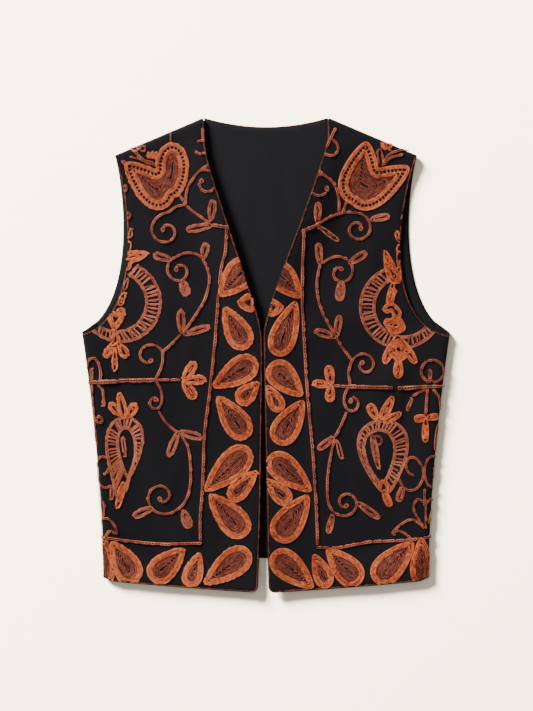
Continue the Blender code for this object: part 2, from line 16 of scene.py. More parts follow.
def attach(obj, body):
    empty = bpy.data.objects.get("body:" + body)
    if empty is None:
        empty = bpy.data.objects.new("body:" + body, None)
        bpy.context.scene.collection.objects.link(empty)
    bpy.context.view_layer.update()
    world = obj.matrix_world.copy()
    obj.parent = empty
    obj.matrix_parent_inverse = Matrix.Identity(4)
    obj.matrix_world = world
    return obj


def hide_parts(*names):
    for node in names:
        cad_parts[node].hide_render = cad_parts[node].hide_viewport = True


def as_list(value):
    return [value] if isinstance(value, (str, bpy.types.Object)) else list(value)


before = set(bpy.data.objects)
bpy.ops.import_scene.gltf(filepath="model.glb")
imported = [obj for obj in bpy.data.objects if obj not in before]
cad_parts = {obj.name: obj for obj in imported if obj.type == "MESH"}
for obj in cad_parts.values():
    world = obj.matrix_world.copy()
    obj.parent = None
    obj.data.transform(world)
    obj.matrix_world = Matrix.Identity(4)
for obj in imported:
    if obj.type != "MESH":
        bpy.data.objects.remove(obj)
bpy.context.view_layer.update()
METRES = 0.001
FAR = 1e9
TINY = 1e-9
print("solids:", sorted(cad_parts))


def place_in_scene(name, data):
    """A new object with this data."""
    thing = bpy.data.objects.new(name, data)
    bpy.context.scene.collection.objects.link(thing)
    return thing


def plain_mesh(name, vertices, edges, faces):
    mesh = bpy.data.meshes.new(name)
    mesh.from_pydata(vertices, edges, faces)
    return mesh


# %% [markdown]
# The cut is written down in millimetres, as a pattern cutter would.
# A plan point is (out, y): out runs from the middle of the garment towards one side, y from hem to neck.
# Both fronts share one set of functions this way, and only the tables differ.

# %% Cut of the gilet
NECK_POINT = Vector((84.0, 322.5))
SHOULDER_TIP = Vector((205.0, 271.0))
CHEST_HALF = 250.0
UNDERARM_Y = 32.0
HEM_HALF = 220.5
SIDE_HEM_Y = -306.0
FRONT_CORNER_Y = -322.5
SIDE_CURVE = 1.7
HEM_CURVE = 1.25
BACK_HEM_RISE = 30.0
BACK_NECK_DROP = 12.5
CORNER_RADIUS = 9.0
BACK_ARMHOLE = ((205.0, 271.0), (184.0, 180.0), (190.0, 55.0), (250.0, 32.0))

# y, out on the wearer's right front, out on the wearer's left front
FRONT_EDGES = (
    (322.5, 84.0, 84.0), (290.0, 83.0, 82.5), (256.0, 76.0, 72.5), (180.0, 52.0, 46.0),
    (90.0, 22.0, 12.5), (40.0, 7.5, -2.0), (8.0, 4.8, -3.4), (-60.0, 5.4, -2.0),
    (-200.0, 7.2, 1.0), (-280.0, 9.4, 2.4), (-322.5, 11.0, 3.4),
)

# %% Layers and heights
FRONT_WALL = 3.0
BACK_WALL = 1.6
LINING_WALL = 1.0
SEAM_GAP = 0.3
LINING_INSET = 2.0
LINING_HEM_INSET = 7.0
REST_HEIGHT = BACK_WALL + LINING_WALL + FRONT_WALL + 2 * SEAM_GAP
SIDE_HEIGHT_UNDERARM = 10.0
SIDE_HEIGHT_HEM = 9.6
SHOULDER_HEIGHT = 9.2
SHOULDER_RADIUS = SHOULDER_HEIGHT / 2
SIDE_BLEND = 46.0
SHOULDER_BLEND = 45.0
ARMHOLE_FADE = 60.0
SIDE_STRIP = 16.0
SHOULDER_STRIP = 12.0
SIDE_CORNER_RISE = 4.0
SIDE_CORNER_WIDTH = 14.0

# y, how far the front edge stands off the lining
EDGE_ROLLS = (
    (322.5, 3.0), (250.0, 6.5), (170.0, 8.4), (90.0, 6.4),
    (20.0, 4.2), (-100.0, 3.4), (-220.0, 3.2), (-322.5, 3.6),
)
EDGE_ROLL_WIDTH = 62.0
HEM_ROLL = 3.4
HEM_ROLL_WIDTH = 52.0

# out, y, half length, half width, turn in degrees, height
SWELLS = (
    (150.0, 160.0, 84.0, 24.0, 74.0, 1.5), (192.0, 6.0, 74.0, 22.0, 38.0, 2.2),
    (112.0, 66.0, 86.0, 22.0, 18.0, 1.3), (78.0, -70.0, 96.0, 20.0, 102.0, 1.1),
    (146.0, -118.0, 104.0, 24.0, 82.0, 1.6), (184.0, -214.0, 70.0, 20.0, 66.0, 1.3),
    (96.0, -226.0, 72.0, 22.0, 122.0, 1.2),
)

# %% [markdown]
# Cloth never lies perfectly flat. The solids already hold the broad swells.
# Narrow creases come on top of them here, each one a long soft bump with its own turn, length and height.
# They are listed one by one and uneven, because a noise texture would make every inch look the same.

# %% Creases
# out, y, half length, half width, turn in degrees, height
CREASES = (
    (214.0, 44.0, 44.0, 6.0, 28.0, 1.0), (206.0, 20.0, 52.0, 7.0, 46.0, 0.9),
    (168.0, 232.0, 40.0, 6.0, 118.0, 0.7), (126.0, 214.0, 60.0, 8.0, 64.0, 0.8),
    (138.0, 92.0, 66.0, 8.0, 84.0, 0.9), (104.0, -2.0, 70.0, 7.0, 96.0, 0.7),
    (62.0, 40.0, 46.0, 6.0, 58.0, 0.6), (176.0, -66.0, 64.0, 8.0, 76.0, 1.0),
    (214.0, -120.0, 60.0, 7.0, 88.0, 0.8), (122.0, -160.0, 56.0, 7.0, 108.0, 0.8),
    (66.0, -176.0, 62.0, 6.0, 94.0, 0.6), (164.0, -252.0, 48.0, 6.0, 30.0, 0.8),
    (60.0, -266.0, 40.0, 6.0, 150.0, 0.6),
)
CREASE_SHIFT = 0.45  # share of a front's own shift that its creases follow

# %% Curves and small helpers
ALONG = (SHOULDER_TIP - NECK_POINT).normalized()
ACROSS = Vector((-ALONG.y, ALONG.x))


def smooth(value):
    """0 below 0, 1 above 1, and an S curve between."""
    value = min(1.0, max(0.0, value))
    return value * value * (3 - 2 * value)


def bezier(handles, steps):
    """Points along a cubic Bezier."""
    a, b, c, d = (Vector(handle) for handle in handles)
    points = []
    for i in range(steps + 1):
        t = i / steps
        s = 1 - t
        points.append(a * s**3 + b * 3 * s * s * t + c * 3 * s * t * t + d * t**3)
    return points


def along_polyline(points, key, value):
    """The point where key(point), which rises along the points, reaches value."""
    for p, q in zip(points, points[1:]):
        low, high = key(p), key(q)
        if low <= value <= high and high > low:
            return p.lerp(q, (value - low) / (high - low))
    return points[-1] if key(points[-1]) < value else points[0]


def curve_value(rows, column, y):
    """A value of the table at this y, on a smooth curve; the rows run from high y to low y."""
    y = min(rows[0][0], max(rows[-1][0], y))
    k = next(i for i in range(len(rows) - 1) if rows[i + 1][0] <= y)

    def slope(i):
        i = min(len(rows) - 2, max(1, i))
        return (rows[i + 1][column] - rows[i - 1][column]) / (rows[i + 1][0] - rows[i - 1][0])

    span = rows[k + 1][0] - rows[k][0]
    t = (y - rows[k][0]) / span
    start, end = rows[k][column], rows[k + 1][column]
    return (
        start * (1 + 2 * t) * (1 - t) ** 2
        + slope(k) * span * t * (1 - t) ** 2
        + end * t * t * (3 - 2 * t)
        + slope(k + 1) * span * t * t * (t - 1)
    )


def spaced(low, high, step):
    """Even values from low to high, both included."""
    count = max(1, round(abs(high - low) / step))
    return [low + (high - low) * i / count for i in range(count + 1)]


# %% What differs between the two fronts
class Front:
    """One front: its side, its column in the table of edges, and its armhole."""

    def __init__(self, name, sign, column, armhole, shift):
        self.name = name
        self.sign = sign
        self.column = column
        self.armhole = armhole
        self.shift = shift


RIGHT = Front("front_right", -1, 1, ((205.0, 271.0), (178.0, 178.0), (178.0, 46.0), (250.0, 28.0)), 0.0)
LEFT = Front("front_left", 1, 2, ((205.0, 271.0), (172.0, 172.0), (168.0, 40.0), (250.0, 26.0)), 22.0)


def edge_out(front, y):
    """Where the front's inner edge lies at this height."""
    return curve_value(FRONT_EDGES, front.column, y)


def side_share(y):
    return min(1.0, max(0.0, (UNDERARM_Y - y) / (UNDERARM_Y - SIDE_HEM_Y)))


def side_fold(y):
    """(where the side fold starts, its outer radius) at this height."""
    share = side_share(y)
    out = HEM_HALF + (CHEST_HALF - HEM_HALF) * (1 - share) ** SIDE_CURVE
    height = SIDE_HEIGHT_UNDERARM + (SIDE_HEIGHT_HEM - SIDE_HEIGHT_UNDERARM) * share
    return out - height / 2, height / 2


def seam_out(y):
    """Where the side seam lies on the underside."""
    return side_fold(y)[0] - SIDE_STRIP


def side_corner(out):
    """How much the hem has turned up on its way to the side fold."""
    return SIDE_CORNER_RISE * smooth((out - HEM_HALF + SIDE_CORNER_WIDTH) / SIDE_CORNER_WIDTH)


def front_hem_y(out):
    share = min(1.0, max(0.0, out / HEM_HALF))
    level = SIDE_HEM_Y + (FRONT_CORNER_Y - SIDE_HEM_Y) * (1 - share**HEM_CURVE)
    return level + side_corner(out)


def back_hem_y(out):
    return SIDE_HEM_Y + BACK_HEM_RISE * (1 - (out / HEM_HALF) ** 2) + side_corner(out)


# %% Shape of a front
def past_shoulder(point):
    """How far a pattern point lies past the line where the shoulder fold starts."""
    return (point - NECK_POINT).dot(ACROSS) + SHOULDER_RADIUS


def bumps(rows, point, shift):
    """Height of a table of long soft bumps at this point."""
    height = 0.0
    for out, y, half_length, half_width, turn, rise in rows:
        away = point - Vector((out, y - shift))
        angle = math.radians(turn)
        u = away.x * math.cos(angle) + away.y * math.sin(angle)
        v = away.y * math.cos(angle) - away.x * math.sin(angle)
        height += rise * math.exp(-((u / half_length) ** 2) - (v / half_width) ** 2)
    return height


def face_height(front, point):
    """Height of the outer face over the flat part of a front."""
    from_edge = point.x - edge_out(front, point.y)
    from_hem = point.y - front_hem_y(point.x)
    edge = curve_value(EDGE_ROLLS, 1, point.y) * (1 - smooth(from_edge / EDGE_ROLL_WIDTH))
    hem = HEM_ROLL * (1 - smooth(from_hem / HEM_ROLL_WIDTH))
    height = REST_HEIGHT + math.hypot(edge, hem) + bumps(SWELLS, point, front.shift)
    height += bumps(CREASES, point, front.shift * CREASE_SHIFT)
    start, radius = side_fold(point.y)
    inside = (start - point.x) / SIDE_BLEND + max(0.0, point.y - UNDERARM_Y) / ARMHOLE_FADE
    below = smooth(-past_shoulder(point) / SHOULDER_BLEND)
    height = SHOULDER_HEIGHT + (height - SHOULDER_HEIGHT) * below
    return 2 * radius + (height - 2 * radius) * smooth(inside)


def fold_over(front, point, depth):
    """Plan point and height of a pattern point, depth inside the outer face."""
    past = past_shoulder(point)
    if past > 0:
        turn = past / SHOULDER_RADIUS
        reach = SHOULDER_RADIUS - depth
        if turn < math.pi:
            across = reach * math.sin(turn) - SHOULDER_RADIUS
            height = SHOULDER_RADIUS + reach * math.cos(turn)
        else:
            across = math.pi * SHOULDER_RADIUS - past - SHOULDER_RADIUS
            height = depth
        plan = NECK_POINT + ALONG * (point - NECK_POINT).dot(ALONG) + ACROSS * across
        return Vector((plan.x, plan.y, height))
    start, radius = side_fold(point.y)
    past = point.x - start
    if past <= 0:
        return Vector((point.x, point.y, face_height(front, point) - depth))
    turn = past / radius
    if turn < math.pi:
        reach = radius - depth
        return Vector((start + reach * math.sin(turn), point.y, radius + reach * math.cos(turn)))
    return Vector((start - (past - math.pi * radius), point.y, depth))


# %% [markdown]
# Each front is one flat pattern, folded round the side and the shoulder to hidden seams underneath.
# Its outline is walked once round, with finer steps than the solid has, so that edges look like soft cloth.

# %% Outline of a front
EDGE_STEP = 6.0
FOLD_STEPS = 8
CURVE_STEPS = 60
CORNER_TURNS = (180, 202, 225, 247, 270)
CORNER_LEAD = 6.0


def out_of(point):
    return point.x


def below_ridge(point):
    """Distance from the shoulder's ridge line towards the hem."""
    return -(point - NECK_POINT).dot(ACROSS)


def under_side(point):
    """Pattern point of a plan point that lies under the side."""
    start, radius = side_fold(point.y)
    return Vector((start + math.pi * radius + start - point.x, point.y))


def under_shoulder(point):
    """Pattern point of a plan point that lies under the shoulder."""
    along = (point - NECK_POINT).dot(ALONG)
    past = math.pi * SHOULDER_RADIUS + below_ridge(point) - SHOULDER_RADIUS
    return NECK_POINT + ALONG * along + ACROSS * (past - SHOULDER_RADIUS)


def side_turn(y_top, y_under):
    """Pattern points of an edge that goes round the side fold, without its two ends."""
    points = []
    for k in range(1, FOLD_STEPS):
        y = y_top + (y_under - y_top) * k / FOLD_STEPS
        start, radius = side_fold(y)
        points.append(Vector((start + math.pi * radius * k / FOLD_STEPS, y)))
    return points


def shoulder_turn(top, under):
    """Pattern points of an edge that goes round the shoulder fold, without its two ends."""
    along_top = (top - NECK_POINT).dot(ALONG)
    along_under = (under - NECK_POINT).dot(ALONG)
    points = []
    for k in range(1, FOLD_STEPS):
        share = k / FOLD_STEPS
        past = math.pi * SHOULDER_RADIUS * share
        along = along_top + (along_under - along_top) * share
        points.append(NECK_POINT + ALONG * along + ACROSS * (past - SHOULDER_RADIUS))
    return points


def front_edge_run(front, top_y):
    """The V and the centre edge down to the rounded corner and round it."""
    corner_y = front_hem_y(edge_out(front, FRONT_CORNER_Y))
    middle = Vector((edge_out(front, corner_y + CORNER_RADIUS), corner_y))
    middle += Vector((CORNER_RADIUS, CORNER_RADIUS))
    turns = [math.radians(angle) for angle in CORNER_TURNS]
    corner = [middle + CORNER_RADIUS * Vector((math.cos(t), math.sin(t))) for t in turns]
    edge_ys = spaced(top_y, corner[0].y + CORNER_LEAD, EDGE_STEP)
    return [Vector((edge_out(front, y), y)) for y in edge_ys] + corner


def hem_run(corner):
    """The hem from the corner, round the side fold, to the side seam."""
    fold_out = side_fold(SIDE_HEM_Y)[0]
    seam = seam_out(SIDE_HEM_Y)
    run = [Vector((out, front_hem_y(out))) for out in spaced(corner.x, fold_out, EDGE_STEP)[1:]]
    run += side_turn(run[-1].y, back_hem_y(fold_out))
    run += [under_side(Vector((out, back_hem_y(out)))) for out in spaced(fold_out, seam, EDGE_STEP)]
    return run


def shoulder_seam_run(back_armhole, top_y):
    """The shoulder seam on the underside, from the armhole to the neck."""
    seam_depth = SHOULDER_RADIUS + SHOULDER_STRIP
    end = along_polyline(back_armhole, below_ridge, seam_depth)
    neck = Vector((NECK_POINT.x, NECK_POINT.y - seam_depth / ACROSS.y))
    shares = spaced(0, 1, EDGE_STEP / (end - neck).length)
    run = [under_shoulder(along_polyline(back_armhole, below_ridge, SHOULDER_RADIUS))]
    run += [under_shoulder(end.lerp(neck, share)) for share in shares]
    return run + [under_shoulder(Vector((NECK_POINT.x, top_y)))]


ARMHOLE_CLEAR = 2.5


def front_outline(front):
    """The whole edge of a front's pattern, anticlockwise from the top of its V edge."""
    top_y = NECK_POINT.y - SHOULDER_RADIUS / ACROSS.y
    front_armhole = bezier(front.armhole, CURVE_STEPS)
    back_armhole = bezier(BACK_ARMHOLE, CURVE_STEPS)
    lower_front = front_armhole[CURVE_STEPS // 2 :]
    lower_back = back_armhole[CURVE_STEPS // 2 :]
    fold_out = side_fold(UNDERARM_Y)[0]
    side_top = along_polyline(lower_front, out_of, fold_out)
    side_under = along_polyline(lower_back, out_of, fold_out)
    ridge_top = along_polyline(front_armhole, below_ridge, SHOULDER_RADIUS)
    ridge_under = along_polyline(back_armhole, below_ridge, SHOULDER_RADIUS)
    seam_top = along_polyline(lower_back, out_of, seam_out(UNDERARM_Y))
    neck = Vector((NECK_POINT.x, top_y))
    seam_bottom_y = back_hem_y(seam_out(SIDE_HEM_Y))

    outline = front_edge_run(front, top_y)
    outline += hem_run(outline[-1])
    seam_ys = spaced(seam_bottom_y, seam_top.y, EDGE_STEP)[1:]
    outline += [under_side(Vector((seam_out(y), y))) for y in seam_ys]
    outline.append(under_side(side_under))
    outline += side_turn(side_top.y, side_under.y)[::-1]
    outline.append(side_top)
    for p in front_armhole[::-1]:
        if p.x < fold_out - ARMHOLE_CLEAR and below_ridge(p) > SHOULDER_RADIUS + ARMHOLE_CLEAR:
            outline.append(p)
    outline.append(ridge_top)
    outline += shoulder_turn(ridge_top, ridge_under)
    outline += shoulder_seam_run(back_armhole, top_y)
    outline += shoulder_turn(neck, neck)[::-1]
    return outline


for front in (RIGHT, LEFT):
    front.outline = front_outline(front)
    print(front.name, "outline points:", len(front.outline))

# %% Distances in the pattern
SHARPEST = 0.5  # how sharp a corner may count, so that its inset stays near it


def as_array(points):
    return np.array([(p.x, p.y) for p in points])


def inside_loop(points, loop):
    """Whether each point lies inside the closed loop."""
    inside = np.zeros(len(points), dtype=bool)
    for p, q in zip(loop, np.roll(loop, -1, axis=0)):
        spans = (p[1] > points[:, 1]) != (q[1] > points[:, 1])
        rise = q[1] - p[1] if q[1] != p[1] else 1.0
        cross = p[0] + (q[0] - p[0]) * (points[:, 1] - p[1]) / rise
        inside ^= spans & (points[:, 0] < cross)
    return inside


def loop_distance(points, loop):
    """Distance of each point from the closed loop."""
    nearest = np.full(len(points), FAR)
    for p, q in zip(loop, np.roll(loop, -1, axis=0)):
        side = q - p
        share = np.clip(((points - p) @ side) / max(side @ side, TINY), 0.0, 1.0)
        away = points - p - share[:, None] * side
        nearest = np.minimum(nearest, np.hypot(away[:, 0], away[:, 1]))
    return nearest


def inset(loop, distance):
    """The loop moved inwards by the distance."""
    moved = []
    for before, here, after in zip(loop[-1:] + loop[:-1], loop, loop[1:] + loop[:1]):
        first = (here - before).normalized()
        second = (after - here).normalized()
        side = Vector((-first.y - second.y, first.x + second.x)).normalized()
        sharpness = max(SHARPEST, side.dot(Vector((-first.y, first.x))))
        moved.append(here + side * distance / sharpness)
    return moved


# %% [markdown]
# A sheet of cloth is a fine net of triangles on its outer face, a coarser one inside,
# and a rounded edge between them. The edge is a few rings that turn over like a pressed fold.

# %% Cloth shells
OUTER_STEP = 6.5
INNER_STEP = 14.0
FRONT_ROUND = 1.1
BACK_ROUND = 0.5
EDGE_RINGS = 4
FILL_CLEAR = 0.4  # share of a net's step that stays free along an edge or a fold
FOLD_CLEAR = 1.2
WELD = 1e-4


def triangulate(outline, points):
    """(vertices, triangles, place of each outline point)."""
    made = delaunay_2d_cdt(list(outline) + points, [], [list(range(len(outline)))], 1, WELD)
    vertices, triangles, sources = made[0], made[2], made[3]
    place = {}
    for index, origin in enumerate(sources):
        for i in origin:
            place[i] = index
    return vertices, triangles, [place[i] for i in range(len(outline))]


def grid_inside(outline, step, clear):
    """Points on a staggered grid inside the outline, kept clear of it."""
    loop = as_array(outline)
    low, high = loop.min(axis=0), loop.max(axis=0)
    rows = []
    for row, y in enumerate(spaced(low[1], high[1], step * math.sqrt(0.75))):
        xs = np.arange(low[0] + (row % 2) * step / 2, high[0], step)
        rows.append(np.column_stack([xs, np.full(len(xs), y)]))
    grid = np.vstack(rows)
    grid = grid[inside_loop(grid, loop)]
    return grid[loop_distance(grid, loop) > clear]


def fold_rows(step):
    """Points in rows along the side fold and the shoulder fold, where the cloth bends tightly."""
    points = []
    for y in spaced(SIDE_HEM_Y, UNDERARM_Y, step):
        start, radius = side_fold(y)
        points += [(start + math.pi * radius * k / FOLD_STEPS, y) for k in range(FOLD_STEPS + 1)]
    for along in spaced(0, (SHOULDER_TIP - NECK_POINT).length, step):
        for k in range(FOLD_STEPS + 1):
            past = math.pi * SHOULDER_RADIUS * k / FOLD_STEPS
            points.append(tuple(NECK_POINT + ALONG * along + ACROSS * (past - SHOULDER_RADIUS)))
    return np.array(points)


def front_fill(outline, step):
    """Grid points over the flat parts and rows of points over the folds."""
    clear = step * FILL_CLEAR
    points = [
        p
        for p in grid_inside(outline, step, clear)
        if p[0] < side_fold(p[1])[0] - clear and past_shoulder(Vector(p)) < -clear
    ]
    rows = fold_rows(step)
    loop = as_array(outline)
    rows = rows[inside_loop(rows, loop)]
    points += list(rows[loop_distance(rows, loop) > FOLD_CLEAR])
    return [Vector(p) for p in points]


def flat_fill(outline, step):
    return [Vector(p) for p in grid_inside(outline, step, step * FILL_CLEAR)]


def edge_rings(wall, roundness):
    """(inset, depth) of each ring from the outer face round the edge to the inside."""
    rings = []
    for k in range(EDGE_RINGS + 1):
        turn = math.pi * k / EDGE_RINGS
        rings.append((roundness * (1 - math.sin(turn)), wall * (1 - math.cos(turn)) / 2))
    return rings


def cloth_piece(name, vertices, faces):
    """A new piece from millimetre vertices, with its faces pointing outwards."""
    mesh = plain_mesh(name, [v * METRES for v in vertices], [], faces)
    shape = bmesh.new()
    shape.from_mesh(mesh)
    bmesh.ops.recalc_face_normals(shape, faces=shape.faces)
    shape.to_mesh(mesh)
    shape.free()
    mesh.shade_smooth()
    print(name, "triangles:", sum(len(face) - 2 for face in faces))
    return place_in_scene(name, mesh)


def shell(node_name, outline, place, wall, roundness, fill, sign=1):
    """A closed shell: place(point, depth) puts a pattern point into space."""
    vertices, faces, rings = [], [], []
    for ring_inset, depth in edge_rings(wall, roundness):
        ring = inset(outline, ring_inset)
        rings.append((ring, [len(vertices) + i for i in range(len(ring))]))
        vertices += [place(p, depth) for p in ring]
    for (_, first), (_, second) in zip(rings, rings[1:]):
        for i in range(len(outline)):
            j = (i + 1) % len(outline)
            faces.append((first[i], first[j], second[j], second[i]))
    for (ring, ids), depth, step in ((rings[0], 0.0, OUTER_STEP), (rings[-1], wall, INNER_STEP)):
        flat, triangles, rim = triangulate(ring, fill(ring, step))
        known = dict(zip(rim, ids))
        for i, point in enumerate(flat):
            if i not in known:
                known[i] = len(vertices)
                vertices.append(place(point, depth))
        faces += [tuple(known[i] for i in face) for face in triangles]
    placed = [Vector((sign * v.x, v.y, v.z)) for v in vertices]
    return cloth_piece("cloth_" + node_name, placed, faces)


# %% Make the two fronts
cloths = {}
outlines = {}
for front in (RIGHT, LEFT):
    outlines[front.name] = front.outline
    cloths[front.name] = shell(
        front.name,
        front.outline,
        lambda point, depth, front=front: fold_over(front, point, depth),
        FRONT_WALL,
        FRONT_ROUND,
        front_fill,
        front.sign,
    )

# %% [markdown]
# The back lies flat under the fronts. Its lining is a separate thinner sheet,
# set back a little inside the neck and the armholes, as a lining is sewn in.

# %% Make the back and its lining
NECK_STEP = 6.0
SEAM_TUCK = 0.5  # the back's side edges reach this far into the seam, so that no light shows through


def back_outline(edge_inset, hem_inset, tuck=-SEAM_GAP):
    """Plan outline of the back between its seams, anticlockwise."""
    half = []
    neck_out = NECK_POINT.x - SEAM_GAP
    for out in spaced(0, neck_out, NECK_STEP):
        drop_share = (out / NECK_POINT.x) ** 2
        half.append(Vector((out, NECK_POINT.y - BACK_NECK_DROP * (1 - drop_share) - edge_inset)))
    seam_depth = SHOULDER_RADIUS + SHOULDER_STRIP + SEAM_GAP
    half.append(Vector((neck_out, NECK_POINT.y - seam_depth / ACROSS.y)))
    armhole = [p - Vector((edge_inset, 0)) for p in bezier(BACK_ARMHOLE, CURVE_STEPS)]
    lower = armhole[CURVE_STEPS // 2 :]
    seam_top = along_polyline(lower, out_of, seam_out(UNDERARM_Y) + tuck)
    shoulder_end = along_polyline(armhole, below_ridge, seam_depth)
    half += [half[-1].lerp(shoulder_end, share) for share in spaced(0, 1, 0.1)[1:]]
    for point in armhole:
        if below_ridge(point) > seam_depth + ARMHOLE_CLEAR and point.y > seam_top.y + ARMHOLE_CLEAR:
            half.append(point)
    seam_bottom_y = back_hem_y(seam_out(SIDE_HEM_Y)) + hem_inset
    seam_ys = spaced(seam_top.y, seam_bottom_y, EDGE_STEP)
    half += [Vector((seam_out(y) + tuck, y)) for y in seam_ys]
    for out in spaced(seam_out(SIDE_HEM_Y) + tuck, 0, EDGE_STEP)[1:]:
        half.append(Vector((out, back_hem_y(out) + hem_inset)))
    other = [Vector((-p.x, p.y)) for p in half[-2:0:-1]]
    return (half + other)[::-1]


LINING_TOP = BACK_WALL + SEAM_GAP + LINING_WALL
outlines["back"] = back_outline(0.0, 0.0, SEAM_TUCK)
outlines["back_lining"] = back_outline(LINING_INSET, LINING_HEM_INSET)
for node_name, top, wall in (("back", BACK_WALL, BACK_WALL), ("back_lining", LINING_TOP, LINING_WALL)):
    cloths[node_name] = shell(
        node_name,
        outlines[node_name],
        lambda point, depth, top=top: Vector((point.x, point.y, top - depth)),
        wall,
        BACK_ROUND,
        flat_fill,
    )

# %% [markdown]
# The embroidery is wool chain stitch: each row is a line of small loops, each caught by the next.
# Motifs are traditional scrolls, drops, tulips and pomegranates. Each one is a formula with a few sizes,
# set where that motif lies, and rows of stitches follow its edge inwards until it is full.

# %% Drops, tulips and pomegranates
# narrow end out, narrow end y, round end out, round end y, width
RIGHT_DROPS = (
    (62.6, 80.2, 19.0, 126.5, 43.0), (38.5, 70.6, 11.9, 70.6, 26.6), (56.2, 64.6, 25.8, 8.2, 37.0),
    (71.5, -43.5, 12.2, -6.8, 38.0), (9.5, -36.7, 38.1, -65.3, 27.0), (65.7, -56.3, 24.5, -112.9, 38.0),
    (82.3, -184.6, 21.8, -126.5, 41.0), (12.2, -156.4, 49.0, -197.2, 27.0),
    (76.7, -189.3, 25.8, -244.8, 41.0), (83.0, -310.1, 21.8, -265.2, 40.0),
    (89.8, -267.9, 104.7, -314.2, 28.0), (110.2, -262.5, 156.4, -304.6, 38.0),
    (209.4, -253.0, 175.4, -308.7, 39.0), (220.0, -246.0, 220.0, -313.0, 33.0),
)
LEFT_DROPS = (
    (46.9, 77.5, 8.2, 121.0, 38.0), (24.1, 63.9, -0.9, 63.9, 25.0), (40.8, 72.8, 13.6, -1.4, 38.0),
    (49.0, -55.8, 5.4, -11.6, 39.0), (1.4, -40.8, 20.4, -76.8, 23.0), (51.0, -61.9, 13.6, -120.4, 39.0),
    (61.2, -185.0, 4.1, -136.0, 39.0), (-0.5, -168.0, 32.6, -201.3, 26.0),
    (57.8, -190.4, 13.6, -251.6, 43.0), (63.9, -315.5, 8.8, -267.9, 40.0),
    (65.3, -270.0, 84.3, -315.5, 27.0), (83.0, -262.5, 127.8, -310.0, 39.0),
    (200.0, -253.0, 146.9, -307.4, 41.0), (211.0, -247.0, 211.0, -313.0, 32.0),
)

# Two drops that overlap make a tulip head; the last column says how blunt the narrow end is
RIGHT_TULIP = ((127.0, 212.0, 127.0, 288.0, 46.0, 0.8), (190.9, 260.4, 129.0, 204.0, 49.0, 0.42))
LEFT_TULIP = ((136.7, 289.0, 121.0, 202.6, 57.0, 0.42), (194.5, 254.3, 114.2, 206.7, 50.0, 0.42))

# A pomegranate's body and the hollow in it, with the same columns
RIGHT_FRUIT = ((201.5, -209.0, 188.0, -83.0, 53.0, 0.03), (185.5, -163.0, 191.0, -101.0, 19.5, 0.42))
LEFT_FRUIT = ((163.0, -190.0, 156.4, -87.0, 71.0, 0.36), (157.0, -170.0, 152.0, -104.0, 38.0, 0.42))

# Crescent: middle out, middle y, outer radius, inner radius, lean outwards, first and last degree
RIGHT_CRESCENT = (196.4, 71.5, 55.5, 38.0, 5.5, 112.0, 316.0)
LEFT_CRESCENT = (183.5, 65.0, 57.5, 38.5, 3.5, 112.0, 328.0)

# %% Leaves and petals
# narrow end out, narrow end y, round end out, round end y, width
RIGHT_LEAVES = (
    (74, 181, 72, 210, 12), (72, 176, 108, 169, 12), (128, 129, 153, 136, 12), (85, 129, 81, 152, 12),
    (114, 102, 107, 80, 14), (114, 29, 116, 62, 12), (113, 27, 76, 39, 11), (119, -104, 86, -112, 12),
    (119, -104, 132, -138, 12), (153, -207, 180, -219, 12), (113, -210, 103, -235, 14),
    (208.5, -175, 208.5, -197, 6), (187.4, 105, 192.3, 87, 6.5), (183, 173, 184, 158, 6),
    (236, -36, 237, -17, 5), (220.5, -56, 219.5, -70, 4.6), (232.7, -96, 229.5, -123, 4.8),
    (196.5, 264, 189, 258, 5), (190, -140, 195, -110, 6),
)
LEFT_LEAVES = (
    (141, 184, 168, 188, 11), (69, 178, 71, 207, 11), (69, 176, 99, 154, 8), (73, 122, 71, 152, 11),
    (112, 124, 137, 139, 12), (103, 101, 99, 73, 14), (95, 24, 100, 54, 11), (95, 24, 66, 33, 12),
    (93, -111, 70, -128, 11), (96, -114, 103, -142, 7), (123, -199, 154, -222, 11),
    (91, -216, 84, -242, 10), (186, -178, 179, -199, 11), (183, 152, 176, 167, 9.5),
    (179, 121, 181.5, 148, 7.5), (222, -38, 223, -19, 5.5), (199.5, -57, 190.5, -76, 5.5),
    (229.5, -149, 228, -167, 5), (226, -208, 221, -230, 5.5), (233, -93, 230, -131, 7),
    (153, -156, 144, -108, 10), (185, 194, 185, 173, 5),
)
RIGHT_PETALS = (
    (112, -35, 96, -9, 14.5), (112, -35, 81, -33, 14), (112, -35, 96, -60, 15),
    (199.5, -51, 191.5, -86, 13.5), (197, -83, 212, -65, 12.5), (187.5, -85, 176, -65.5, 14),
    (172.6, 278, 184, 282, 9), (158.6, 265, 159.5, 276, 4.8), (154.2, 264, 153.9, 277, 4.8),
    (150.8, 264, 149.0, 276, 4.8), (185.5, 139, 185.5, 155, 7.5), (191.5, 86, 198.5, 66, 9),
    (201.5, -209, 193, -172, 10.5),
)
LEFT_PETALS = (
    (88, -41, 85, -14, 14), (88, -41, 63, -38, 12), (88, -41, 86, -64, 14), (172.5, -56, 156, -88, 14),
    (150, -88, 140, -66, 14), (184, -79, 158, -91, 12), (159, -182, 168.5, -206, 11),
    (163, -192, 158, -169, 13), (217, -85, 201, -87, 11.5), (217, -85, 234, -83.5, 10),
    (216.5, -85, 215.5, -119, 10), (178, 169, 178, 158, 7), (181, 151, 179, 139, 7),
    (163, 276, 156, 288, 5), (164, 276, 161, 289, 5), (166, 276, 171, 288, 5),
)

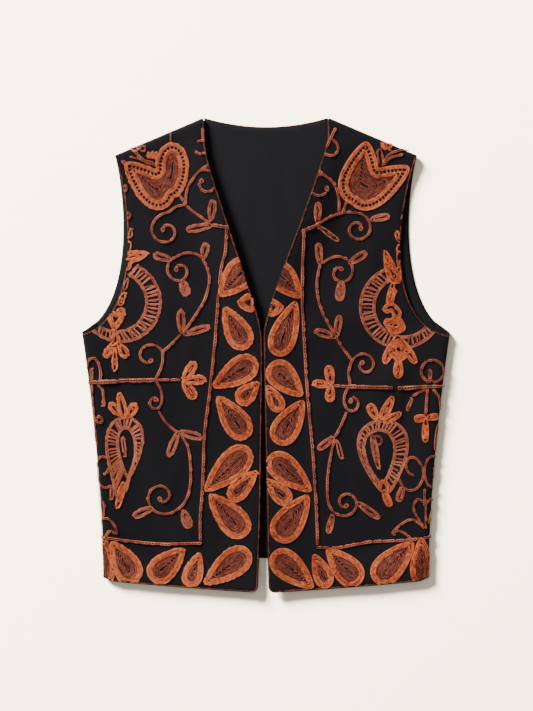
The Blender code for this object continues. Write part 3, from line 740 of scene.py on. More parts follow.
# %% The columns that cross the crescents
# each group of drops is one solid form
RIGHT_COLUMN = (
    ((159, 138, 191, 131, 17), (189, 142, 187, 115, 12)),
    ((205.6, 33, 194.5, 64.5, 14.5), (205.6, 33, 209, 60, 14.5)),
    ((203.8, 36, 203.8, 12, 13), (208.5, 17, 217.5, -4.5, 11.5), (200.5, 18, 188, -4, 13.5)),
    ((204.7, 14, 204.7, -23, 8.6),),
)
LEFT_COLUMN = (
    ((161, 143, 175, 96, 17), (181, 123, 178, 96, 10)),
    ((173, 102, 167, 66, 11.5), (168, 79, 176.5, 88, 9)),
    ((170, 73, 161, 57, 12), (168, 73, 181, 50, 14)),
    ((176.5, 55, 176.5, 28.5, 26), (177, 29, 162, 49, 13.5)),
    ((178, 28, 160, -12, 13), (178.6, 28, 203, -12, 13), (179.5, 24, 181, -9, 22)),
    ((179.5, 0, 179.1, -32, 14),),
)

# %% Vines, bars and stems
# width of the chain, points that a smooth line runs through
RIGHT_VINES = (
    (4.6, ((75, 259), (88, 250), (100, 237), (107, 223), (109, 206))),
    (4.6, ((119, 220), (111, 207), (103, 198), (76, 178))), (6.0, ((74, 176), (50, 172))),
    (4.6, ((128, 130), (109, 138), (89, 133), (77, 107), (83, 76), (99, 49), (114, 28))),
    (4.6, ((116, 27), (129, 14), (140, 5))), (4.6, ((140, 5), (141, -13), (150, -34))),
    (4.6, ((156, -34), (117, -34))), (4.6, ((145, -77), (136, -91), (123, -103), (116, -106))),
    (6.0, ((241, -37), (222, -37))), (7.0, ((150, -34), (199, -35))), (7.4, ((224, -37), (201, -36))),
    (4.6, ((242, -19), (240, -8.4), (233, -4.6), (226.4, -13), (224.1, -25), (225, -34))),
    (4.2, ((236, -41), (235, -61), (233, -79), (232, -96))),
    (4.2, ((228, -40), (221.5, -48), (220.3, -60))), (3.2, ((129, 305), (129, 290))),
    (4.6, ((86, 307), (85, 290))),
    (5.4, ((147.6, 254), (155, 260.5), (163, 262.5), (171.8, 269), (178, 278))),
    (3.2, ((184, 268.5), (171, 265), (158, 258))),
    (5.0, ((147, 248), (141, 241), (132, 237), (120, 234))),
    (4.4, (
        (204.5, -149.5), (203, -163.6), (207.7, -174.5), (217.1, -180), (225.6, -174.5), (228.3, -162),
        (228.8, -149.5), (224.1, -138.6), (216.2, -140.2), (213.1, -149.6), (215.5, -158.9), (219.4, -161.3),
    )),
    (4.0, ((223.3, -194.9), (219.4, -202.6), (220.2, -218.3), (224.1, -227.6))),
    (3.6, ((229, -178), (227.2, -198), (224.8, -229), (225, -243))),
    (4.4, (
        (221, -220.6), (212.3, -222.9), (205.3, -231.5), (201.4, -241.7), (210.8, -238.5), (217.8, -246.3),
    )),
)
LEFT_VINES = (
    (4.6, ((66, 253), (79, 243), (91, 233), (98, 216), (99, 193))),
    (4.6, ((110, 211), (107, 201), (104, 193))), (6.0, ((49, 167), (67, 175))),
    (4.6, ((73, 122), (69, 99), (71, 76), (79, 53), (95, 24))), (4.6, ((95, 24), (105, 8), (116, -7))),
    (4.6, ((116, -9), (112, -23), (114, -39))), (5.0, ((92, -42), (116, -43))),
    (4.6, ((109, -78), (102, -95), (93, -112))), (5.4, ((213, -43.5), (241, -42))),
    (7.0, ((110, -43), (171, -44.5))), (7.2, ((215, -43.5), (180, -45))),
    (4.4, ((217, -47), (201.6, -54.3), (197, -62))), (4.4, ((226.6, -47), (234.4, -57.4), (236, -73))),
    (4.8, ((218.8, -46.5), (216.4, -80))), (4.6, ((94, 307), (81, 279))),
    (4.6, ((158, 257), (166, 271), (184, 278), (193, 278))),
    (4.6, ((160, 258), (169, 267), (184, 271))),
    (3.2, ((153, 260), (151, 276), (156, 277), (159, 261))),
    (4.4, (
        (178.9, -149.6), (181.3, -169.8), (190.6, -182.3), (203.1, -181.8), (211.7, -169.8), (211.7, -152.7),
        (203.1, -140.2), (193.8, -140.2), (189.9, -149.6), (193.8, -159.7), (200, -162),
    )),
    (4.4, (
        (227.4, -182.4), (218.8, -174.5), (214.9, -160.5), (216.4, -148), (221.9, -138.6), (229.7, -137.9),
    )),
    (4.6, ((215, -182), (215, -204))),
    (4.2, ((214, -199.5), (207, -195.6), (201.6, -201), (200.7, -210.4), (206.3, -221.4), (213.2, -233.9))),
    (4.2, (
        (213, -233), (203.2, -225.2), (193.8, -223.7), (181.3, -230.8), (171.1, -241.7), (178.2, -238.5),
        (187.5, -241.7), (196.9, -249.4),
    )),
    (4.2, ((216.4, -202.6), (221.8, -195.6), (226, -196.4))), (3.2, ((216.4, -204), (216.4, -234))),
)

# %% Scrolls
# stem points, centre out, centre y, end radius, degrees turned, narrowness
RIGHT_SCROLLS = (
    (((88, 250),), 81, 232, 6.8, 330, 1.0),
    (((108, 204), (121, 201), (133, 193)), 135, 168, 4.9, -440, 1.0),
    (((129, 129),), 117, 114, 4.9, -400, 1.0), (((140, 4),), 159, -2, 6.1, -290, 1.0),
    (((150, -34), (142, -48), (141, -63)), 151, -64, 4.1, 320, 0.86),
    (((116, -106), (105, -128), (102, -167), (108, -196), (122, -211)), 141, -192, 4.1, 460, 1.0),
)
LEFT_SCROLLS = (
    (((80, 243),), 73, 227, 9.5, 290, 1.0),
    (((67, 175), (87, 187), (107, 193), (118, 193)), 124, 171, 4.6, -470, 1.0),
    (((73, 123), (87, 131)), 101, 112, 4.6, -420, 1.0), (((116, -9),), 134, -14, 4.6, -400, 1.0),
    (((114, -39), (107, -53), (106, -64)), 118, -65, 4.4, 340, 0.84),
    (((93, -114), (86, -146), (83, -177), (85, -201)), 108, -200, 4.4, 470, 1.0),
)

# %% Circles and long chain lines
# width of the chain, centre out, centre y, radius, first and last degree
RIGHT_RINGS = (
    (4.6, 88.0, 281.0, 9.0, 60.0, 320.0), (4.4, 192.0, 226.0, 3.4, 0.0, 360.0),
    (4.4, 187.5, 189.0, 3.6, 0.0, 360.0), (3.4, 167.0, 279.7, 3.4, 0.0, 360.0),
    (4.6, 225.6, -88.0, 3.8, 0.0, 360.0),
)
LEFT_RINGS = (
    (4.6, 87.0, 280.0, 10.5, -160.0, 70.0), (4.6, 225.6, -22.0, 15.0, -85.0, 265.0),
    (4.0, 151.0, -116.0, 6.0, 0.0, 360.0),
)
RIGHT_CHAINS = (
    (
        (53, 171), (55, 140), (61, 114), (65, 73), (69, 20), (76, -48), (83, -106), (86, -177), (89, -220),
        (89, -250),
    ),
    ((88, -255), (117, -256), (145, -256), (188, -252), (214, -248), (236, -244)),
)
LEFT_CHAINS = (
    ((50, 169), (51, 156), (49, 87), (52, 18), (56, -48), (63, -126), (68, -205), (70, -257)),
    ((69, -261), (99, -261), (139, -254), (173, -252), (201, -250), (236, -244)),
    ((204, 266), (196, 241), (190, 205), (184, 143)),
)
RIGHT.forms = (
    RIGHT_COLUMN, RIGHT_PETALS, RIGHT_DROPS, RIGHT_TULIP, RIGHT_FRUIT, RIGHT_CRESCENT, RIGHT_LEAVES
)
RIGHT.lines = (RIGHT_SCROLLS, RIGHT_RINGS, RIGHT_VINES, RIGHT_CHAINS)
LEFT.forms = (LEFT_COLUMN, LEFT_PETALS, LEFT_DROPS, LEFT_TULIP, LEFT_FRUIT, LEFT_CRESCENT, LEFT_LEAVES)
LEFT.lines = (LEFT_SCROLLS, LEFT_RINGS, LEFT_VINES, LEFT_CHAINS)

# %% Loops of the motifs
DROP_BLUNTNESS = 0.42
LEAF_SHAPE = (0.72, 0.8)  # bluntness and fullness
WIDEST = np.radians(np.arange(80, 130))  # where round a drop its widest place may be
LOOP_POINTS = 72
SAMPLE = 0.8


def drop_width(angle, bluntness, fullness):
    """Width of a drop at this angle round it, before scaling."""
    wave = np.sign(np.sin(angle)) * np.abs(np.sin(angle)) ** fullness
    return wave * (bluntness + (1 - bluntness) * np.sin(angle / 2) ** 2)


def drop(row, bluntness=DROP_BLUNTNESS, fullness=1.0):
    """A drop with a narrow end and a round end, anticlockwise; a sixth number says how blunt it is."""
    x, y, round_x, round_y, width, bluntness = (*row, bluntness)[:6]
    tip = np.array((x, y), dtype=float)
    axis = np.array((round_x, round_y), dtype=float) - tip
    side = np.array((-axis[1], axis[0])) / np.hypot(*axis)
    angle = 2 * np.pi * (np.arange(LOOP_POINTS) + 0.5) / LOOP_POINTS
    widest = drop_width(WIDEST, bluntness, fullness).max()
    across = drop_width(angle, bluntness, fullness) / widest * width / 2
    return anticlockwise(tip + np.outer((1 - np.cos(angle)) / 2, axis) + np.outer(across, side))


def leaf(row):
    return drop(row, *LEAF_SHAPE)


def signed_area(loop):
    """The area inside a loop, negative where it runs clockwise."""
    after = np.roll(loop, -1, axis=0)
    return (loop[:, 0] * after[:, 1] - after[:, 0] * loop[:, 1]).sum() / 2


def anticlockwise(loop):
    return loop if signed_area(loop) > 0 else loop[::-1]


def length_of(line):
    return np.hypot(*np.diff(line, axis=0).T).sum()


def reach_along(line):
    """How far along the line each of its points lies."""
    return np.concatenate([[0.0], np.cumsum(np.hypot(*np.diff(line, axis=0).T))])


def points_at(line, places, keys):
    """The points of the line at these places, where keys gives the place of each of its points."""
    return np.column_stack([np.interp(places, keys, line[:, i]) for i in (0, 1)])


def arc(out, y, radius, first, last):
    """Points along an arc in the pattern."""
    steps = max(3, int(abs(math.radians(last - first)) * radius / SAMPLE))
    turn = np.radians(np.linspace(first, last, steps))
    return np.column_stack([out + radius * np.cos(turn), y + radius * np.sin(turn)])


def even(points, step, closed=False):
    """The line again with evenly spaced points."""
    line = np.vstack([points, points[:1]]) if closed else np.asarray(points, dtype=float)
    reach = reach_along(line)
    count = max(2, int(round(reach[-1] / step)))
    found = points_at(line, np.linspace(0.0, reach[-1], count + 1), reach)
    return found[:-1] if closed else found


CURVE_STEPS_BETWEEN = 12


def through(points):
    """A smooth line through the points."""
    line = np.array([tuple(point) for point in points], dtype=float)
    padded = np.vstack([2 * line[0] - line[1], line, 2 * line[-1] - line[-2]])
    found = []
    for a, b, c, d in zip(padded, padded[1:], padded[2:], padded[3:]):
        for t in np.linspace(0.0, 1.0, CURVE_STEPS_BETWEEN, endpoint=False):
            square = (2 * a - 5 * b + 4 * c - d) * t * t
            cube = (3 * b - a - 3 * c + d) * t**3
            found.append(0.5 * (2 * b + (c - a) * t + square + cube))
    return np.array([*found, line[-1]])


SCROLL_POINTS = 60
SCROLL_TIGHTENING = 0.8  # below 1, a scroll tightens faster at first


def scroll(stem, out, y, end, degrees, narrow):
    """A stem that winds into a spiral about the centre."""
    last = np.array(stem[-1], dtype=float) - (out, y)
    start = math.hypot(last[0] / narrow, last[1])
    share = np.linspace(0.0, 1.0, SCROLL_POINTS)
    turn = math.atan2(last[1], last[0] / narrow) + np.radians(degrees) * share
    radius = start + (end - start) * share**SCROLL_TIGHTENING
    spiral = np.column_stack([out + narrow * radius * np.cos(turn), y + radius * np.sin(turn)])
    if len(stem) < 2:
        return spiral
    return np.vstack([through([*stem, spiral[2]])[:-CURVE_STEPS_BETWEEN], spiral])


# %% [markdown]
# A filled motif is worked in rows that follow its edge. Its depth is measured on a fine grid,
# and each row is the line where that depth has one value, as on a map with contours.
# This also holds where a motif has a hollow, two lobes or a narrow waist.

# %% Rows inside a motif
ROW = 2.6
FINE_ROW = 2.05
LEAF_ROW = 2.3
GRID = 0.7
SMALLEST_LOOP = 4
THIN_LOOP = 1.5
SMOOTHINGS = 2


def depth_map(solids, hollow):
    """(corner of the grid, depth of each grid point inside the motif, which is negative outside)."""
    solids = [even(loop, SAMPLE, True) for loop in solids]
    low = np.vstack(solids).min(axis=0) - 2 * GRID
    high = np.vstack(solids).max(axis=0) + 3 * GRID
    across, up = np.arange(low[0], high[0], GRID), np.arange(low[1], high[1], GRID)
    grid = np.stack(np.meshgrid(across, up, indexing="ij"), axis=-1).reshape(-1, 2)
    inside = np.any([inside_loop(grid, loop) for loop in solids], axis=0)
    edges = []
    for loop in solids:
        others = [inside_loop(loop, other) for other in solids if other is not loop]
        edges.append(loop[~np.any(others, axis=0)] if others else loop)
    if hollow is not None:
        inside &= ~inside_loop(grid, hollow)
        edges.append(even(hollow, SAMPLE, True))
    nearest = np.full(len(grid), FAR)
    for point in np.vstack(edges):
        nearest = np.minimum(nearest, np.hypot(*(grid - point).T))
    return low, np.where(inside, nearest, -nearest).reshape(len(across), len(up))


def contours(low, depth, level):
    """The lines where the depth has this value; a thin loop becomes one line along its middle."""
    above = depth > level
    corners_above = above[:-1, :-1].astype(int) + above[1:, :-1] + above[1:, 1:] + above[:-1, 1:]
    links = {}
    for i, j in np.argwhere((corners_above > 0) & (corners_above < 4)).tolist():
        corners = ((i, j), (i + 1, j), (i + 1, j + 1), (i, j + 1))
        sides = [tuple(sorted(pair)) for pair in zip(corners, corners[1:] + corners[:1])]
        cut = [(p, q) for p, q in sides if above[p] != above[q]]
        for first, second in zip(cut[::2], cut[1::2]):
            links.setdefault(first, []).append(second)
            links.setdefault(second, []).append(first)
    lines = []
    while links:
        before, here = None, next(iter(links))
        loop = []
        while here in links:
            p, q = here
            share = (level - depth[p]) / (depth[q] - depth[p])
            loop.append(low + GRID * (np.array(p) + share * (np.array(q) - np.array(p))))
            onward = links.pop(here)
            before, here = here, onward[0] if onward[0] != before else onward[-1]
        if len(loop) > SMALLEST_LOOP:
            lines.append(one_line(np.array(loop)))
    return lines


def one_line(loop):
    """The smoothed loop closed, or its middle line where it is thin."""
    for _ in range(SMOOTHINGS):
        loop = (np.roll(loop, 1, axis=0) + 2 * loop + np.roll(loop, -1, axis=0)) / 4
    loop = anticlockwise(even(loop, SAMPLE, True))
    closed = np.vstack([loop, loop[:1]])
    if 2 * signed_area(loop) / length_of(closed) > THIN_LOOP:
        return closed
    away = loop - loop.mean(axis=0)
    loop = np.roll(loop, -int(np.argmax((away**2).sum(axis=1))), axis=0)
    half = len(loop) // 2
    return (loop[:half] + loop[::-1][:half]) / 2


# %% [markdown]
# A row becomes a path: its points in the pattern, its thread, and the size of its stitches.
# Orange wool makes the rims of drops and tulips and all of the petals and columns.
# Rust wool fills the drops and tulips. Brown wool chains the vines, long lines and edges,
# and works the leaves, crescents and pomegranates.

# %% Paths for the thread
ORANGE, RUST, CHAIN = "orange", "rust", "chain"
CLOTH_MARGIN = 1.7
SHORTEST_ROW = 3.0
SHORTEST_STITCH = 1.8
LEAST_STITCHES = 7
WRAP = 0.6
# width and length of one stitch
RIM_STITCH = (2.9, 3.0)
FINE_STITCH = (1.6, 3.0)
LEAF_STITCH = (2.45, 2.9)
CHAIN_STITCH = (5.0, 4.4)
VINE_WIDTH, VINE_LENGTH = 4.5, 3.7
# how light each kind of row is
PETAL_TINT, RIM_TINT, FILL_TINT = 0.55, 0.5, 0.5
FRUIT_TINT, MOON_TINT, LEAF_TINT, TIP_TINT = 1.0, 0.75, 0.7, 0.8
VINE_TINT, CHAIN_TINT, RUNG_TINT = 0.55, 0.45, 1.0
PAINTED_EDGE_HIGHLIGHT = 0.3  # how much lighter a motif's outermost row is painted, a painted highlight on its edge
LINK_REACH = 1.28  # how long a link is, so that it covers the start of the next
# single stitches across a band
RUNG_WIDTH, RUNG_STEP, RUNG_OVERLAP = 1.8, 5.2, 0.6
BAND_RUNG_WIDTH, BAND_STEP, BAND_DRIFT = 2.7, 6.6, 1.9
SHORTEST_RUNG = 2.0
ALL_RIM = 20  # more rows than any motif has, so that all of them are rim rows
RUNG_PATH = 0.1  # share of a single stitch that its path has, because one link fills the rest


def runs(points, good):
    """The stretches of good points, as separate lines."""
    changes = np.flatnonzero(np.diff(good.astype(int))) + 1
    return [points[part] for part in np.split(np.arange(len(points)), changes) if good[part[0]]]


def shows(point):
    """Whether a pattern point lies where it can be seen, and not round underneath."""
    start, radius = side_fold(point[1])
    over_side = point[0] > start + WRAP * math.pi * radius
    over_shoulder = past_shoulder(Vector(point)) > WRAP * math.pi * SHOULDER_RADIUS
    return not (over_side or over_shoulder)


class Stitching:
    """All paths of one front, kept by thread."""

    def __init__(self, front):
        self.loop = as_array(front.outline)
        self.paths = []
        self.covered = []

    def add(self, line, thread, stitch, tint, margin=CLOTH_MARGIN):
        """Adds a line where it lies on the cloth and no motif covers it."""
        line = even(line, SAMPLE)
        good = inside_loop(line, self.loop) & (loop_distance(line, self.loop) > margin)
        good &= np.array([shows(point) for point in line])
        good &= ~self.hidden(line)
        for piece in runs(line, good):
            if len(piece) > 1 and length_of(piece) > SHORTEST_ROW:
                width, length = stitch
                length = min(length, max(SHORTEST_STITCH, length_of(piece) / LEAST_STITCHES))
                self.paths.append((piece, thread, (width, length), tint))

    def hidden(self, points):
        """Which points a motif covers that is already laid down."""
        low, high = points.min(axis=0), points.max(axis=0)
        found = np.zeros(len(points), dtype=bool)
        for loop, hollow in self.covered:
            if (loop.max(axis=0) > low).all() and (loop.min(axis=0) < high).all():
                under = inside_loop(points, loop)
                if hollow is not None:
                    under &= ~inside_loop(points, hollow)
                found |= under
        return found

    def vine(self, line, width=VINE_WIDTH):
        self.add(line, CHAIN, (width, VINE_LENGTH), VINE_TINT)

    def fill(self, solids, tint, outer=ALL_RIM, ladder=0.0, inner=0, deepest=FAR, leafy=False, hollow=None):
        """Rows inwards from the edge of a motif until it is full, or as deep as it goes."""
        rim, stitch, row_step = (CHAIN, LEAF_STITCH, LEAF_ROW) if leafy else (ORANGE, RIM_STITCH, ROW)
        low, depths = depth_map(solids, hollow)
        depth = row_step / 2
        row = 0
        while depth < min(deepest, depths.max()):
            if ladder and row == outer:
                for line in contours(low, depths, depth + (ladder - row_step) / 2):
                    self.rungs(line, ladder)
                depth += ladder
            outside = row < outer + inner
            for line in contours(low, depths, depth):
                if length_of(line) > SHORTEST_ROW:
                    # A motif's outermost row gets a painted highlight: its tint is raised, so it shows
                    # lighter.
                    shade = tint + PAINTED_EDGE_HIGHLIGHT * (row == 0) if outside else FILL_TINT
                    self.add(line, rim if outside else RUST, stitch if outside else FINE_STITCH, shade)
            row += 1
            depth += row_step if row < outer + inner else FINE_ROW
        self.covered += [(solid, hollow) for solid in solids]

    def rung(self, start, end, width):
        """One stitch from start to end."""
        if not self.hidden((start + end)[None] / 2)[0]:
            line = np.array([start, start + (end - start) * RUNG_PATH])
            length = np.hypot(*(end - start)) / LINK_REACH
            if inside_loop(line, self.loop).all() and shows(end) and shows(start):
                self.paths.append((line, CHAIN, (width, length), RUNG_TINT))

    def rungs(self, line, width):
        """Short stitches across a gap between two rows."""
        line = even(line, RUNG_STEP)
        ahead = np.gradient(line, axis=0)
        ahead /= np.maximum(np.hypot(ahead[:, 0], ahead[:, 1]), TINY)[:, None]
        reach = width / 2 + RUNG_OVERLAP
        for point, way in zip(line[:-1], ahead):
            across = np.array((-way[1], way[0])) * reach
            self.rung(point - across, point + across, RUNG_WIDTH)

    def band(self, outer, inner, rim, seed):
        """Stitches across a band, each between points of its edges at about the same share."""
        reach = reach_along(outer)
        shares = np.linspace(0, 1, len(outer))
        chance = np.random.default_rng(seed)
        for place in np.arange(BAND_STEP / 2, reach[-1], BAND_STEP):
            ends = []
            for line in (outer, inner):
                share = np.interp(place + chance.uniform(-BAND_DRIFT, BAND_DRIFT), reach, shares)
                ends.append(points_at(line, [share * (len(line) - 1)], np.arange(len(line)))[0])
            far, near = ends
            width = np.hypot(*(near - far))
            if width > 2 * rim + SHORTEST_RUNG:
                inwards = (near - far) * rim / width
                self.rung(near - inwards, far + inwards, BAND_RUNG_WIDTH)


# %% Lay out the embroidery
LADDER = 3.7
FRUIT_RIM = 2 * LEAF_ROW
TIP_BACK, TIP_ON, TIP_WIDTH = 6.0, 2.5, 6.2  # the thick end of a scroll


def scroll_tip(line):
    """The small drop that thickens the end of a scroll."""
    way = (line[-1] - line[-4]) / np.hypot(*(line[-1] - line[-4]))
    return drop((*(line[-1] - way * TIP_BACK), *(line[-1] + way * TIP_ON), TIP_WIDTH))


def stitch_front(front):
    """Every path of one front. What lies on top comes first, and covers what is laid down after it."""
    work = Stitching(front)
    column, petals, drops, tulip, fruit, moon, leaves = front.forms
    scrolls, rings, vines, chains = front.lines
    for group in column:
        work.fill([drop(row) for row in group], PETAL_TINT)
    for row in petals:
        work.fill([leaf(row)], PETAL_TINT)
    for row in drops:
        work.fill([drop(row)], RIM_TINT, outer=3)
    work.fill([drop(row) for row in tulip], RIM_TINT, outer=2, ladder=LADDER, inner=2)
    body, hollow = (drop(row) for row in fruit)
    out, y, outer, inner, lean, first, last = moon
    moon_edges = arc(out, y, outer, first, last), arc(out + lean, y, inner, first, last)
    moon_loop = anticlockwise(np.vstack([moon_edges[0], moon_edges[1][::-1]]))
    for edges in ((body, hollow), moon_edges):
        work.band(*edges, FRUIT_RIM, int(out))
    work.fill([body], FRUIT_TINT, deepest=FRUIT_RIM, leafy=True, hollow=hollow)
    work.fill([moon_loop], MOON_TINT, deepest=FRUIT_RIM, leafy=True)
    for row in leaves:
        work.fill([leaf(row)], LEAF_TINT, leafy=True)
    spirals = [scroll(*row) for row in scrolls]
    for line in spirals:
        work.fill([scroll_tip(line)], TIP_TINT, leafy=True)
    for line in spirals:
        work.vine(line)
    for width, *ring in rings:
        work.vine(arc(*ring), width)
    for width, points in vines:
        work.vine(through(points), width)
    for points in chains:
        work.add(through(points), CHAIN, CHAIN_STITCH, CHAIN_TINT)
    return work


works = {}
for front in (RIGHT, LEFT):
    work = works[front.name] = stitch_front(front)
    total = sum(length_of(path[0]) for path in work.paths)
    print(front.name, "rows:", len(work.paths), "metres of chain:", round(total / 1000, 1))

# %% Lines along the edges
TRIM_STITCH, TRIM_TINT, TRIM_INSET, TRIM_MARGIN = (1.8, 3.2), -0.3, 1.7, 0.5
NECK_STITCH, NECK_TINT, NECK_INSET, NECK_REACH = (1.3, 2.6), -0.2, 1.1, 72.0


def trim_front(front, work):
    """A fine chain line along the V, the centre edge, the hem and the armhole."""
    edge = as_array(inset(front.outline, TRIM_INSET))
    side_line = side_fold(SIDE_HEM_Y)[0]
    top_y = NECK_POINT.y - SHOULDER_RADIUS
    v_and_hem = np.array([p for p in edge[: len(edge) // 2] if p[1] < top_y and p[0] < side_line])
    armhole = as_array(bezier(front.armhole, CURVE_STEPS))
    ahead = np.gradient(armhole, axis=0)
    ahead /= np.hypot(ahead[:, 0], ahead[:, 1])[:, None]
    inward = np.column_stack([ahead[:, 1], -ahead[:, 0]])
    if inward[CURVE_STEPS // 2][0] > 0:
        inward = -inward
    for line in (v_and_hem, armhole + inward * TRIM_INSET):
        work.add(line, CHAIN, TRIM_STITCH, TRIM_TINT, TRIM_MARGIN)


def neck_line():
    """Points just inside the back's neck edge."""
    outs = np.arange(-NECK_REACH, NECK_REACH, SAMPLE)
    drop_share = (outs / NECK_POINT.x) ** 2
    return np.column_stack([outs, NECK_POINT.y - BACK_NECK_DROP * (1 - drop_share) - NECK_INSET])


for front in (RIGHT, LEFT):
    trim_front(front, works[front.name])

# %% [markdown]
# Paths lie in the flat pattern, so each point is folded over like the cloth and lifted a little.
# The direction that faces away from the cloth is kept at every point as the attribute "up".
# Geometry Nodes then follow these lines, so the tree needs nothing else to lay a stitch down.

# %% Paths in space
PATH_STEP = 1.7
PROBE = 0.6
THREAD_LIFT = 0.2
LAST_STITCH = 1.05
CLOSED_GAP = 1.5 * SAMPLE
CLOSED_POINTS = 8


def on_front(front):
    """A function that gives (place, direction away from the cloth) of a point of this front."""
    def put(point):
        here = fold_over(front, point, 0.0)
        ahead = fold_over(front, point + Vector((PROBE, 0.0)), 0.0) - here
        across = fold_over(front, point + Vector((0.0, PROBE)), 0.0) - here
        up = ahead.cross(across).normalized()
        place = here + up * THREAD_LIFT
        return (front.sign * place.x, place.y, place.z), (front.sign * up.x, up.y, up.z)
    return put


def on_back(point):
    """(place, direction away from the cloth) of a point on the back's inside."""
    return (point.x, point.y, BACK_WALL + THREAD_LIFT), (0.0, 0.0, 1.0)


def path_object(name, put, paths):
    """Lines as edges in space with their attributes; put(point) gives a place and a direction."""
    vertices, edges, ups = [], [], []
    columns = {"wide": [], "long": [], "tone": []}
    for line, _, (width, length), tint in paths:
        closed = np.hypot(*(line[0] - line[-1])) < CLOSED_GAP and len(line) > CLOSED_POINTS
        if not closed:
            covered = int(length * LAST_STITCH / SAMPLE)
            line = line[: max(2, len(line) - covered)]
        points = even(line[:-1] if closed else line, PATH_STEP, closed)
        first, count = len(vertices), len(points)
        for point in points:
            place, up = put(Vector(point))
            vertices.append(Vector(place) * METRES)
            ups.append(up)
        for column, value in (("wide", width * METRES), ("long", length * METRES), ("tone", tint)):
            columns[column] += [value] * count
        edges += [(first + i, first + i + 1) for i in range(count - 1)]
        if closed:
            edges.append((first + count - 1, first))
    mesh = plain_mesh("paths", vertices, edges, [])
    mesh.attributes.new("up", "FLOAT_VECTOR", "POINT").data.foreach_set("vector", np.ravel(ups))
    for column, values in columns.items():
        mesh.attributes.new(column, "FLOAT", "POINT").data.foreach_set("value", np.array(values))
    return place_in_scene(name, mesh)


# %% [markdown]
# One chain stitch is a loop of wool: two strands that part from a narrow start and close round the next.
# It is a ring of short tubes with only a few faces, because thousands of them are laid down.
# Its UV map runs along and round the strand, so the twist of the yarn follows the loop.

# %% One link
LINK_SIDES = 3
LINK_SEGMENTS = 8
FULL_STRAND = 0.38
OPEN_STRAND = 0.3
FLATNESS = 0.75
LINK_START = 0.14  # how far a link reaches back over the one before
LINK_WAIST = 0.62  # how wide a link is near its start
LINK_RISE = 0.16  # how much higher its far end lies


def make_link(strand):
    """A chain-stitch loop of unit length and width, lying along X with Z up."""
    centre = []
    for i in range(LINK_SEGMENTS):
        angle = 2 * math.pi * i / LINK_SEGMENTS
        far = math.sin(angle / 2) ** 2
        x = LINK_REACH * (1 - math.cos(angle)) / 2 - LINK_START
        y = math.sin(angle) * (LINK_WAIST + (1 - LINK_WAIST) * far) * (1 - strand) / 2
        centre.append(Vector((x, y, FLATNESS * (strand * 0.5 + LINK_RISE * far))))
    vertices, faces, around = [], [], []
    for i, here in enumerate(centre):
        j = (i + 1) % LINK_SEGMENTS
        way = (centre[j] - centre[i - 1]).normalized()
        side = Vector((-way.y, way.x, 0.0)).normalized()
        low, high = i / LINK_SEGMENTS, (i + 1) / LINK_SEGMENTS
        for k in range(LINK_SIDES):
            turn = math.pi / 2 + 2 * math.pi * k / LINK_SIDES
            round_strand = side * math.cos(turn) + Vector((0, 0, FLATNESS)) * math.sin(turn)
            vertices.append(here + strand / 2 * round_strand)
            m = (k + 1) % LINK_SIDES
            faces.append([a * LINK_SIDES + b for a, b in ((i, k), (i, m), (j, m), (j, k))])
            left, right = k / LINK_SIDES, (k + 1) / LINK_SIDES
            around += [(low, left), (low, right), (high, right), (high, left)]
    mesh = plain_mesh("chain_link", vertices, [], faces)
    mesh.uv_layers.new(name="yarn").data.foreach_set("uv", np.ravel(around))
    mesh.shade_smooth()
    print("one link:", len(faces), "faces")
    return place_in_scene("chain_link", mesh)


links = {ORANGE: make_link(FULL_STRAND), CHAIN: make_link(OPEN_STRAND)}
links[RUST] = links[CHAIN]

# %% [markdown]
# The tree turns each path into a curve, divides it into stitches of even length, and sets a link on each,
# along the curve and facing away from the cloth. A small random turn and size keep it handmade.

# %% The stitch tree
UNEVENNESS = 0.16
SIZE_JITTER = 0.12
TREE_INPUTS = (
    ("Paths", "Geometry"), ("Link", "Object"), ("Stitch length", "Float"), ("Stitch width", "Float"),
    ("Unevenness", "Float"), ("Seed", "Int"),
)


